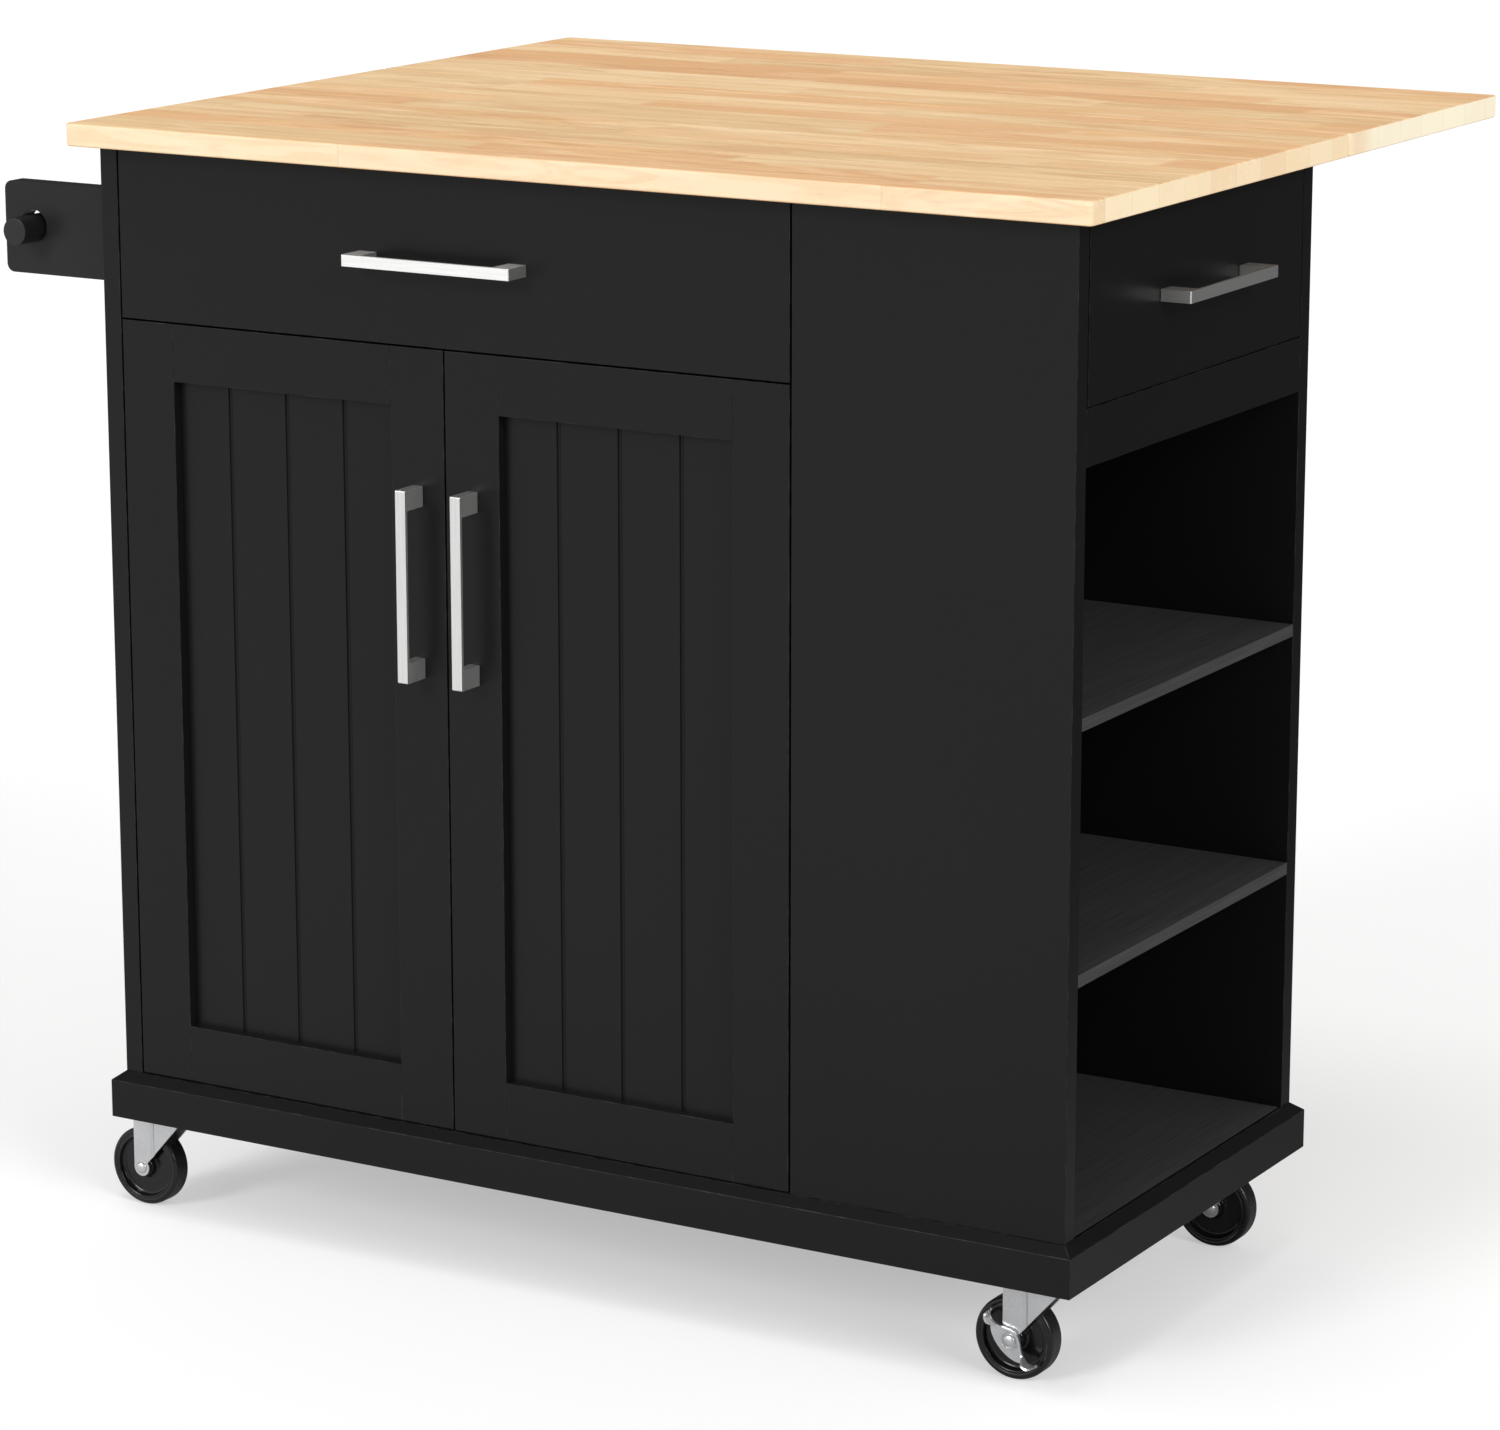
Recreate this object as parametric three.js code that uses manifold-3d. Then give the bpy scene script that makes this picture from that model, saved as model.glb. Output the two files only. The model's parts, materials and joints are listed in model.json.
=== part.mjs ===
// Drop leaf kitchen island on four casters.
// Millimetres, +Z up. The front faces -Y and the open end shelves face +X.
// Pieces are placed in the cabinet frame: x = 0 on the left side of the body,
// y = 0 on its front plane and z = 0 on the floor. The whole is then moved so
// that its origin is the bottom centre of the box round it.
import * as THREE from "three";
import { mergeVertices } from "three/addons/utils/BufferGeometryUtils.js";
import Module from "manifold-3d";

const wasm = await Module();
wasm.setup();

// ---- Driving dimensions -------------------------------------------------------

const FIT = 0.3; // gap left between two pieces that touch
const OVERRUN = 1; // how far a cutter runs past what it cuts, and a joined form into its neighbour

const BODY_WIDTH = 850;
const BODY_DEPTH = 396;
const BOARD = 16; // carcass, door and drawer front thickness
const REVEAL = 1.5; // gap round each door and drawer front
const END_BAY_WIDTH = 231; // fixed front panel, and the rear end board behind it

const TOP_THICKNESS = 18;
const TOP_UNDERSIDE = 870;
const TOP_FRONT_OVERHANG = 19;
const TOP_SIDE_OVERHANG = 19;
const TOP_DEPTH = 438;
const LEAF_DEPTH = 295;
const TOP_ARRIS = 1.5; // rounding of the worktop's edges
const TOP_CORNER = 4; // rounding of its corners in plan
const LEAF_SEAM = 0.5;

const PLINTH_UNDERSIDE = 81;
const PLINTH_FACE = 31; // upright face below the chamfer
const PLINTH_CHAMFER = 7; // rise of the chamfer
const PLINTH_OVERHANG = 9; // run of the chamfer, out from the body
const PLINTH_STRIP = 12; // thickness of the plinth strips
const CARCASS_BOTTOM = PLINTH_UNDERSIDE + PLINTH_FACE + PLINTH_CHAMFER;

const DRAWER_LINE = 735.5; // level where drawer fronts meet what is below
const DOOR_LEVELS = { bottom: CARCASS_BOTTOM + REVEAL, top: DRAWER_LINE - REVEAL / 2 };
const END_RAIL_BOTTOM = 693;
const END_SHELF_THICKNESS = 10;
const END_SHELF_TOPS = { end_shelf_upper: 511, end_shelf_lower: 320 };
const CUPBOARD_SHELF = { bottom: 430, thickness: 15, sideGap: 1, frontGap: 8, backGap: 2 };
const RAIL_DEPTH = 60;

const STILE_WIDTH = 48;
const DOOR_RAIL_WIDTH = 45.5;
const PANEL_FRONT_RECESS = 8;
const PANEL_BACK_RECESS = 3;
const PANEL_REBATE = 4; // how far the panel enters the frame
const GROOVE_PITCH = 53.5;
const GROOVE_COUNT = 3;
const GROOVE_WIDTH = 3;
const GROOVE_DEPTH = 1.6;

const CUP_RADIUS = 17.5;
const CUP_DEPTH = 12;
const CUP_INSET = 22.5; // cup centre from the door's outer edge
const DOOR_HINGE_INSET = 85; // from the door's top and bottom edges
const HINGE_ARM = {
  height: 13,
  plate: 2.7, // thickness of the mounting plate
  sunk: 2, // where the arm's foot starts, inside the plate
  rise: 11, // from the board to the arm's outer face
  back: 68, // depths below are behind the door's face
  wingBack: 56,
  wingFront: 38,
  crankBack: 36,
  footFront: 30,
  crankFront: 25,
  noseRoot: 20,
  noseTip: 9,
  noseHalf: 5.5,
  wingSpan: 52,
  wingHeight: 20,
  wingCorner: 3,
};

const HANDLE_CENTRES = 134;
const HANDLE_LEG = 16;
const HANDLE_BAR_THICKNESS = 3;
const HANDLE_WIDTH = 9;
const HANDLE_PROJECTION = 25;
const HANDLE_FILLET = 1.2;
const DOOR_HANDLE_LEVEL = 554.5;
const DRAWER_HANDLE_LEVEL = 801;
const END_HANDLE_CENTRE = 206; // along the cabinet's depth

const DRAWER_BOX = { wall: 12, floor: 5, floorRaise: 8, bottom: 750, top: 840 };
const RUNNER_ROOM = 12.7; // between a drawer box and the board beside it
const RUNNER = { height: 40, depth: 11, wall: 1.5, lip: 7, level: 790, frontGap: 2 };
const FRONT_DRAWER_DEPTH = 330;
const END_DRAWER_DEPTH = 190;

const BUTT = {
  length: 60,
  reach: 22.5,
  plate: 1.6,
  knuckle: 3.2,
  relief: 0.5, // between a knuckle and the other leaf's plate
  pin: 1.4,
  bore: 1.75,
  middle: 20, // length of the middle knuckle
};
const BUTT_HINGE_POSITIONS = { left: 260, right: 590 };
const HINGE_DROP = 3.5; // hinge axis below the underside of the worktop
const SCREW_HOLE_RADIUS = 2.2;

const SUPPORT_POSITIONS = { left: 130, right: 720 };
const SUPPORT = {
  sheet: 2,
  stripWidth: 26,
  stripTop: 22, // below the hinge axis
  stripLength: 95,
  stripCorner: 4,
  stripScrew: 12, // from each end of the strip
  pivotDrop: 60, // brace pivot below the hinge axis
  pivotOut: 12.6, // brace pivot behind the cabinet's back
  pin: 2.5,
  pinClearance: 0.4,
  eye: 6, // half the width of the brace, and the radius of its ends
  braceThickness: 10,
  braceSolidEnd: 14.4, // length of the brace left solid at each end
  earOffset: 5.6,
  earSpread: 20, // half the foot of an ear
  armWidth: 21,
  armStart: 12,
  armEnd: 246,
  armFlange: 16,
  armLip: 6, // height of the flanges at their ends
  armTaper: { near: 12, far: 30 },
  armScrews: [40, 110, 190],
  tip: 140, // where the brace meets the raised arm, from the hinge axis
  track: 8, // line of the slot below the hinge axis
  slot: 2.7,
};

const TOWEL_PLATE = { reach: 114, height: 73, thickness: 15, corner: 7, holeRadius: 13 };
const TOWEL_PLATE_FRONTS = { towel_bracket_front: 25, towel_bracket_rear: 356 };
const TOWEL_ROD = { radius: 11, chamfer: 1, x: -86.5, level: 796 };

const CASTER_INSET = 26; // swivel axis from the body's side and front planes
const CASTER_TOP = 89;
const CASTER_TRAIL = 24;
const CASTER_PLATE = { size: 42, thickness: 2.5, corner: 4, hole: 2.2, holeSpacing: 30 };
const RACE = { radius: 17, rim: 15, well: 7, foot: 84.3, round: 1 };
const KING_PIN = { radius: 4, headRadius: 6.5, headHeight: 2, bore: 4.4 };
const FORK = {
  sheet: 2.2,
  inside: 10.2, // from the wheel's middle plane to each leg
  deckTop: 79.5,
  deckFront: 16,
  deckCorner: 5,
  legFront: 14,
  legKnee: { x: 12, z: 71 }, // where the slanted front edge meets the deck's skirt
  eye: 7.3,
  domeRadius: 19,
  domeRound: 2.5,
  domeTop: 83.8,
};
const WHEEL = { radius: 32.5, width: 18, bore: 3.4, hub: 9, rim: 25.5, web: 3.5, draft: 2, shoulder: 3 };
const AXLE = { radius: 3, headRadius: 5, headHeight: 2.4 };
const BRAKE = { sheet: 2, halfLength: 27, halfWidth: 5.5, waist: 10.5, tab: 9, pivotHole: 3.5, tilt: 45 };
const TURNED = { small: 8, pin: 12, large: 20, wheel: 26 }; // sides of round pieces

// ---- Levels and lines worked out from them ------------------------------------

const TOP_SEAM = TOP_DEPTH - TOP_FRONT_OVERHANG; // y of the seam
const HINGE_Y = TOP_SEAM + LEAF_SEAM / 2;
const HINGE_Z = TOP_UNDERSIDE - HINGE_DROP;
const BAY_LEFT = BODY_WIDTH - END_BAY_WIDTH; // left edge of the fixed panel
const BACK_INSIDE = BODY_DEPTH - BOARD;
const HANDLE_LENGTH = HANDLE_CENTRES + HANDLE_LEG;
const OBJECT_LEFT = -TOWEL_PLATE.reach;
const OBJECT_RIGHT = BODY_WIDTH + HANDLE_PROJECTION;
const OBJECT_FRONT = -HANDLE_PROJECTION;
const OBJECT_BACK = TOP_SEAM + LEAF_SEAM + LEAF_DEPTH;

// ---- Finishes -----------------------------------------------------------------

const finish = (color, roughness, metalness) => () =>
  new THREE.MeshStandardMaterial({ color, roughness, metalness });

const blackPaint = finish(0x2b2b2b, 0.45, 0);
const oiledWood = finish(0xe8c496, 0.5, 0);
const satinNickel = finish(0xc9c9c6, 0.3, 1);
const zinc = finish(0xb9bcbf, 0.35, 1);
const blackSteel = finish(0x1d1d1f, 0.4, 0.6);
const blackPlastic = finish(0x111111, 0.25, 0);
const paleBoard = finish(0xd8d4cb, 0.6, 0);

// ---- Solids: closed meshes joined and cut --------------------------------------

const MERGE_DISTANCE = 1e-4;

// Vertices are merged, and the empty triangles that a revolve leaves on its axis go.
function toSolid(geometry) {
  const bare = geometry.clone();
  bare.deleteAttribute("normal");
  bare.deleteAttribute("uv");
  const merged = mergeVertices(bare, MERGE_DISTANCE);
  const corners = Array.from(merged.index.array);
  const triangles = [];
  for (let i = 0; i < corners.length; i += 3) {
    const [a, b, c] = corners.slice(i, i + 3);
    if (a !== b && b !== c && c !== a) {
      triangles.push(a, b, c);
    }
  }
  return new wasm.Manifold(new wasm.Mesh({
    numProp: 3,
    vertProperties: new Float32Array(merged.attributes.position.array),
    triVerts: new Uint32Array(triangles),
  }));
}

function toGeometry(solid) {
  const mesh = solid.getMesh();
  const geometry = new THREE.BufferGeometry();
  geometry.setAttribute("position", new THREE.BufferAttribute(mesh.vertProperties, 3));
  geometry.setIndex(new THREE.BufferAttribute(mesh.triVerts, 1));
  return geometry;
}

function join(...geometries) {
  return toGeometry(geometries.map(toSolid).reduce((whole, piece) => whole.add(piece)));
}

function cut(geometry, ...tools) {
  return toGeometry(tools.map(toSolid).reduce((whole, tool) => whole.subtract(tool), toSolid(geometry)));
}

// ---- Profiles and prisms --------------------------------------------------------

function rectangle(x0, x1, y0, y1) {
  return new THREE.Shape([[x0, y0], [x1, y0], [x1, y1], [x0, y1]].map(([x, y]) => new THREE.Vector2(x, y)));
}

function polygon(points) {
  return new THREE.Shape(points.map(([x, y]) => new THREE.Vector2(x, y)));
}

function roundedRectangle(x0, x1, y0, y1, radius) {
  const shape = new THREE.Shape();
  shape.absarc(x1 - radius, y0 + radius, radius, -Math.PI / 2, 0);
  shape.absarc(x1 - radius, y1 - radius, radius, 0, Math.PI / 2);
  shape.absarc(x0 + radius, y1 - radius, radius, Math.PI / 2, Math.PI);
  shape.absarc(x0 + radius, y0 + radius, radius, Math.PI, Math.PI * 1.5);
  shape.closePath();
  return shape;
}

function circle(x, y, radius) {
  return new THREE.Shape().absarc(x, y, radius, 0, Math.PI * 2);
}

// A slot or bar with round ends, from one centre to the other.
function capsule(xa, ya, xb, yb, radius) {
  const along = Math.atan2(yb - ya, xb - xa);
  const shape = new THREE.Shape();
  shape.absarc(xa, ya, radius, along + Math.PI / 2, along + Math.PI * 1.5);
  shape.absarc(xb, yb, radius, along - Math.PI / 2, along + Math.PI / 2);
  shape.closePath();
  return shape;
}

function extrude(shape, depth, curveSegments = 6) {
  return new THREE.ExtrudeGeometry(shape, { depth, bevelEnabled: false, curveSegments });
}

// A profile in (y, z) run along X, one in (x, z) run along Y, and one in (x, y) run along Z.
function alongX(shape, x0, x1, curveSegments) {
  const basis = new THREE.Matrix4().makeBasis(
    new THREE.Vector3(0, 1, 0), new THREE.Vector3(0, 0, 1), new THREE.Vector3(1, 0, 0));
  return extrude(shape, x1 - x0, curveSegments).applyMatrix4(basis).translate(x0, 0, 0);
}

function alongY(shape, y0, y1, curveSegments) {
  const basis = new THREE.Matrix4().makeBasis(
    new THREE.Vector3(1, 0, 0), new THREE.Vector3(0, 0, 1), new THREE.Vector3(0, -1, 0));
  return extrude(shape, y1 - y0, curveSegments).applyMatrix4(basis).translate(0, y1, 0);
}

function alongZ(shape, z0, z1, curveSegments) {
  return extrude(shape, z1 - z0, curveSegments).translate(0, 0, z0);
}

function block(x0, x1, y0, y1, z0, z1) {
  return new THREE.BoxGeometry(x1 - x0, y1 - y0, z1 - z0)
    .translate((x0 + x1) / 2, (y0 + y1) / 2, (z0 + z1) / 2);
}

// A board cut half the fit short on every side, so that neighbours never overlap.
function board(x0, x1, y0, y1, z0, z1) {
  const s = FIT / 2;
  return block(x0 + s, x1 - s, y0 + s, y1 - s, z0 + s, z1 - s);
}

// Pins and bores along X or Y, and a profile of [radius, height] revolved about Z.
function rodX(radius, x0, x1, y, z, sides = TURNED.pin) {
  return new THREE.CylinderGeometry(radius, radius, x1 - x0, sides)
    .rotateZ(Math.PI / 2).translate((x0 + x1) / 2, y, z);
}

function rodY(radius, y0, y1, x, z, sides = TURNED.pin) {
  return new THREE.CylinderGeometry(radius, radius, y1 - y0, sides).translate(x, (y0 + y1) / 2, z);
}

function rodZ(radius, z0, z1, x, y, sides = TURNED.pin) {
  return new THREE.CylinderGeometry(radius, radius, z1 - z0, sides)
    .rotateX(Math.PI / 2).translate(x, y, (z0 + z1) / 2);
}

function revolve(profile, sides) {
  return new THREE.LatheGeometry(profile.map(([r, h]) => new THREE.Vector2(r, h)), sides);
}

// ---- The scene graph ------------------------------------------------------------

const island = new THREE.Group();
island.position.set(-(OBJECT_LEFT + OBJECT_RIGHT) / 2, -(OBJECT_FRONT + OBJECT_BACK) / 2, 0);

function place(parent, name, geometry, material) {
  const mesh = new THREE.Mesh(geometry, material());
  mesh.name = name;
  parent.add(mesh);
  return mesh;
}

function group(parent, x, y, z) {
  const made = new THREE.Group();
  made.position.set(x, y, z);
  parent.add(made);
  return made;
}

// ---- Plinth: chamfered strips with mitred corners, and a block in each corner -----

// A profile of [inset, z] swept round a rectangle with mitred corners.
function mitredRing(x0, x1, y0, y1, profile) {
  const positions = [];
  const index = [];
  const corners = [[x0, y0, 1, 1], [x1, y0, -1, 1], [x1, y1, -1, -1], [x0, y1, 1, -1]];
  corners.forEach(([x, y, inX, inY]) =>
    profile.forEach(([inset, z]) => positions.push(x + inX * inset, y + inY * inset, z)));
  const count = profile.length;
  corners.forEach((_, c) => profile.forEach((__, p) => {
    const q = (p + 1) % count;
    const [a, b] = [c * count + p, c * count + q];
    const [d, e] = [((c + 1) % corners.length) * count + p, ((c + 1) % corners.length) * count + q];
    index.push(a, d, b, b, d, e);
  }));
  const ring = new THREE.BufferGeometry();
  ring.setAttribute("position", new THREE.Float32BufferAttribute(positions, 3));
  ring.setIndex(index);
  return ring;
}

function plinth() {
  const out = PLINTH_OVERHANG;
  const boardBottom = CARCASS_BOTTOM - BOARD;
  const strips = mitredRing(-out, BODY_WIDTH + out, -out, BODY_DEPTH + out, [
    [0, PLINTH_UNDERSIDE],
    [0, PLINTH_UNDERSIDE + PLINTH_FACE],
    [out, CARCASS_BOTTOM],
    [PLINTH_STRIP, CARCASS_BOTTOM],
    [PLINTH_STRIP, PLINTH_UNDERSIDE],
  ]);
  const inner = PLINTH_STRIP - out;
  const reach = 2 * (CASTER_INSET - inner);
  const cornerBlocks = [[inner, inner], [BODY_WIDTH - inner - reach, inner],
    [inner, BODY_DEPTH - inner - reach], [BODY_WIDTH - inner - reach, BODY_DEPTH - inner - reach]]
    .map(([x, y]) => block(x - OVERRUN, x + reach + OVERRUN, y - OVERRUN, y + reach + OVERRUN,
      CASTER_TOP + FIT, boardBottom));
  place(island, "plinth_frame", join(strips, ...cornerBlocks), blackPaint);
  place(island, "bottom_board",
    board(inner, BODY_WIDTH - inner, inner, BODY_DEPTH - inner, boardBottom, CARCASS_BOTTOM), blackPaint);
}

// ---- Carcass boards -------------------------------------------------------------

function carcass() {
  const [low, high] = [CARCASS_BOTTOM, TOP_UNDERSIDE];
  const railBack = BOARD + REVEAL + RAIL_DEPTH;
  const shelf = CUPBOARD_SHELF;
  const boards = {
    left_side_panel: [0, BOARD, 0, BODY_DEPTH, low, high],
    fixed_front_panel: [BAY_LEFT, BODY_WIDTH, 0, BOARD, low, high],
    rear_end_board: [BAY_LEFT, BODY_WIDTH, BACK_INSIDE, BODY_DEPTH, low, high],
    cupboard_back: [BOARD, BAY_LEFT, BACK_INSIDE, BODY_DEPTH, low, high],
    partition: [BAY_LEFT, BAY_LEFT + BOARD, BOARD, BACK_INSIDE, low, high],
    cupboard_shelf: [BOARD + shelf.sideGap, BAY_LEFT - shelf.sideGap, BOARD + shelf.frontGap,
      BACK_INSIDE - shelf.backGap, shelf.bottom, shelf.bottom + shelf.thickness],
    drawer_rail: [BOARD, BAY_LEFT, BOARD + REVEAL, railBack,
      DRAWER_LINE - BOARD / 2, DRAWER_LINE + BOARD / 2],
    top_stretcher: [BOARD, BAY_LEFT, BOARD + REVEAL, railBack, high - BOARD, high],
    end_rail: [BODY_WIDTH - BOARD, BODY_WIDTH, BOARD, BACK_INSIDE, END_RAIL_BOTTOM, DRAWER_LINE],
  };
  Object.entries(boards).forEach(([name, limits]) => place(island, name, board(...limits), blackPaint));
  Object.entries(END_SHELF_TOPS).forEach(([name, top]) => place(island, name,
    board(BAY_LEFT + BOARD, BODY_WIDTH, BOARD, BACK_INSIDE, top - END_SHELF_THICKNESS, top), blackPaint));
}

// ---- Worktop and drop leaf --------------------------------------------------------

function worktopBoard(y0, y1) {
  const a = TOP_ARRIS;
  const [x0, x1] = [-TOP_SIDE_OVERHANG, BODY_WIDTH + TOP_SIDE_OVERHANG];
  const outline = roundedRectangle(x0 + a, x1 - a, y0 + a, y1 - a, TOP_CORNER - a);
  return new THREE.ExtrudeGeometry(outline, {
    depth: TOP_THICKNESS - 2 * a,
    bevelThickness: a,
    bevelSize: a,
    bevelSegments: 2,
    curveSegments: 3,
  }).translate(0, 0, TOP_UNDERSIDE + a);
}

function worktop() {
  place(island, "worktop", worktopBoard(-TOP_FRONT_OVERHANG, TOP_SEAM), oiledWood);
  place(island, "drop_leaf", worktopBoard(TOP_SEAM + LEAF_SEAM, OBJECT_BACK), oiledWood);
}

// ---- Butt hinge under the seam, made on its own axis ------------------------------

function buttHinge(side, x) {
  const { length, reach, plate, knuckle, pin, bore, middle } = BUTT;
  const here = group(island, x, HINGE_Y, HINGE_Z);
  const plateTop = knuckle;
  const plateBottom = knuckle - plate;
  const [cutBottom, cutTop] = [plateBottom - OVERRUN, plateTop + OVERRUN];
  const relief = knuckle + BUTT.relief;
  const half = length / 2;
  const screwLine = (reach + knuckle) / 2;
  const screws = [-length / 3, 0, length / 3];
  const holes = (direction) => screws.map((s) =>
    rodZ(SCREW_HOLE_RADIUS, cutBottom, cutTop, s, direction * screwLine, TURNED.small));

  const fixedPlate = block(-half, half, -reach, 0, plateBottom, plateTop);
  const middleRelief = block(-middle / 2 - FIT, middle / 2 + FIT, -relief, OVERRUN, cutBottom, cutTop);
  const barrels = [[-half, -middle / 2 - FIT], [middle / 2 + FIT, half]]
    .map(([x0, x1]) => rodX(knuckle, x0, x1, 0, 0));
  const fixed = join(cut(fixedPlate, middleRelief, ...holes(-1)), ...barrels, rodX(pin, -half, half, 0, 0));
  place(here, `leaf_hinge_${side}_fixed`, fixed, zinc);

  const movingPlate = block(-half, half, 0, reach, plateBottom, plateTop);
  const endReliefs = [[-half - OVERRUN, -middle / 2], [middle / 2, half + OVERRUN]]
    .map(([x0, x1]) => block(x0, x1, -OVERRUN, relief, cutBottom, cutTop));
  const barrel = rodX(knuckle, -middle / 2, middle / 2, 0, 0);
  const moving = cut(join(cut(movingPlate, ...endReliefs, ...holes(1)), barrel),
    rodX(bore, -middle, middle, 0, 0));
  place(here, `leaf_hinge_${side}_moving`, moving, zinc);
}

// ---- Folding leaf support, made on the leaf's hinge axis ----------------------------

// Wall strip with two ears and the brace's pin.
function supportStrip(pivot) {
  const s = SUPPORT;
  const back = BODY_DEPTH + FIT - HINGE_Y;
  const bottom = -s.stripTop - s.stripLength;
  const strip = cut(
    alongY(roundedRectangle(-s.stripWidth / 2, s.stripWidth / 2, bottom, -s.stripTop, s.stripCorner),
      back, back + s.sheet, 3),
    ...[bottom + s.stripScrew, -s.stripTop - s.stripScrew]
      .map((z) => rodY(SCREW_HOLE_RADIUS, back - OVERRUN, back + s.sheet + OVERRUN, 0, z, TURNED.small)));
  const ear = polygon([[back + s.sheet / 2, pivot.z - s.earSpread], [pivot.y, pivot.z - s.eye],
    [pivot.y + s.eye, pivot.z], [pivot.y, pivot.z + s.eye], [back + s.sheet / 2, pivot.z + s.earSpread]]);
  const ears = [s.earOffset, -s.earOffset - s.sheet].map((x) => alongX(ear, x, x + s.sheet));
  const pinReach = s.earOffset + s.sheet + FIT;
  return join(strip, ...ears, rodX(s.pin, -pinReach, pinReach, pivot.y, pivot.z));
}

// Channel under the leaf, with the track that the brace's tip runs in.
function supportArm() {
  const s = SUPPORT;
  const top = HINGE_DROP - FIT;
  const half = s.armWidth / 2;
  const flangeFoot = top - s.armFlange;
  const side = polygon([[s.armStart, top], [s.armStart, top - s.armLip],
    [s.armStart + s.armTaper.near, flangeFoot], [s.armEnd - s.armTaper.far, flangeFoot],
    [s.armEnd, top - s.armLip], [s.armEnd, top]]);
  const inside = block(-half + s.sheet, half - s.sheet, 0, s.armEnd + OVERRUN,
    flangeFoot - OVERRUN, top - s.sheet);
  const slot = alongX(capsule(s.tip, -s.track, s.armEnd - s.armTaper.far, -s.track, s.slot),
    -half - OVERRUN, half + OVERRUN, 4);
  const holes = s.armScrews.map((y) => rodZ(SCREW_HOLE_RADIUS, 0, top + OVERRUN, 0, y, TURNED.small));
  return cut(alongX(side, -half, half), inside, slot, ...holes);
}

// Brace from the wall pin to the arm's track: a pressed channel with round ends.
function supportBrace(pivot) {
  const s = SUPPORT;
  const tip = { y: s.tip, z: -s.track };
  const half = s.braceThickness / 2;
  const bar = alongX(capsule(pivot.y, pivot.z, tip.y, tip.z, s.eye), -half, half);
  const toward = new THREE.Vector2(tip.y - pivot.y, tip.z - pivot.z);
  const length = toward.length();
  const hollow = block(-half + s.sheet, half - s.sheet, s.braceSolidEnd, length - s.braceSolidEnd,
    -s.eye - OVERRUN, s.eye - s.sheet)
    .rotateX(toward.angle()).translate(0, pivot.y, pivot.z);
  const bore = rodX(s.pin + s.pinClearance, -half - OVERRUN, half + OVERRUN, pivot.y, pivot.z);
  const tipPinReach = s.armWidth / 2 - s.sheet - FIT;
  return join(cut(bar, hollow, bore), rodX(s.slot - FIT, -tipPinReach, tipPinReach, tip.y, tip.z));
}

function leafSupport(side, x) {
  const here = group(island, x, HINGE_Y, HINGE_Z);
  const pivot = { y: BODY_DEPTH + SUPPORT.pivotOut - HINGE_Y, z: -SUPPORT.pivotDrop };
  place(here, `leaf_support_${side}_strip`, supportStrip(pivot), blackSteel);
  place(here, `leaf_support_${side}_arm`, supportArm(), blackSteel);
  place(here, `leaf_support_${side}_brace`, supportBrace(pivot), blackSteel);
}

// ---- Bar handle: a flat bar on two block legs, drawn along its length and projection ------

function barHandle() {
  const half = HANDLE_LENGTH / 2;
  const inner = HANDLE_CENTRES / 2 - HANDLE_LEG / 2;
  const grip = HANDLE_PROJECTION - HANDLE_BAR_THICKNESS;
  const f = HANDLE_FILLET;
  const outline = new THREE.Shape();
  outline.moveTo(-half, FIT);
  outline.lineTo(-half, HANDLE_PROJECTION - f);
  outline.absarc(-half + f, HANDLE_PROJECTION - f, f, Math.PI, Math.PI / 2, true);
  outline.absarc(half - f, HANDLE_PROJECTION - f, f, Math.PI / 2, 0, true);
  outline.lineTo(half, FIT);
  outline.lineTo(inner, FIT);
  outline.lineTo(inner, grip - f);
  outline.absarc(inner - f, grip - f, f, 0, Math.PI / 2);
  outline.absarc(-inner + f, grip - f, f, Math.PI / 2, Math.PI);
  outline.lineTo(-inner, FIT);
  outline.closePath();
  return extrude(outline, HANDLE_WIDTH, 3).translate(0, 0, -HANDLE_WIDTH / 2);
}

// The drawing plane (length, projection) is turned to where the handle sits.
function handleOn(parent, name, centre, lengthAxis, outward) {
  const across = new THREE.Vector3().crossVectors(lengthAxis, outward);
  const geometry = barHandle()
    .applyMatrix4(new THREE.Matrix4().makeBasis(lengthAxis, outward, across))
    .translate(centre.x, centre.y, centre.z);
  place(parent, name, geometry, satinNickel);
}

const X = new THREE.Vector3(1, 0, 0);
const Y = new THREE.Vector3(0, 1, 0);
const Z = new THREE.Vector3(0, 0, 1);
const FRONT = new THREE.Vector3(0, -1, 0);

// ---- Doors: frame, grooved panel and hinge cups -------------------------------------

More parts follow.
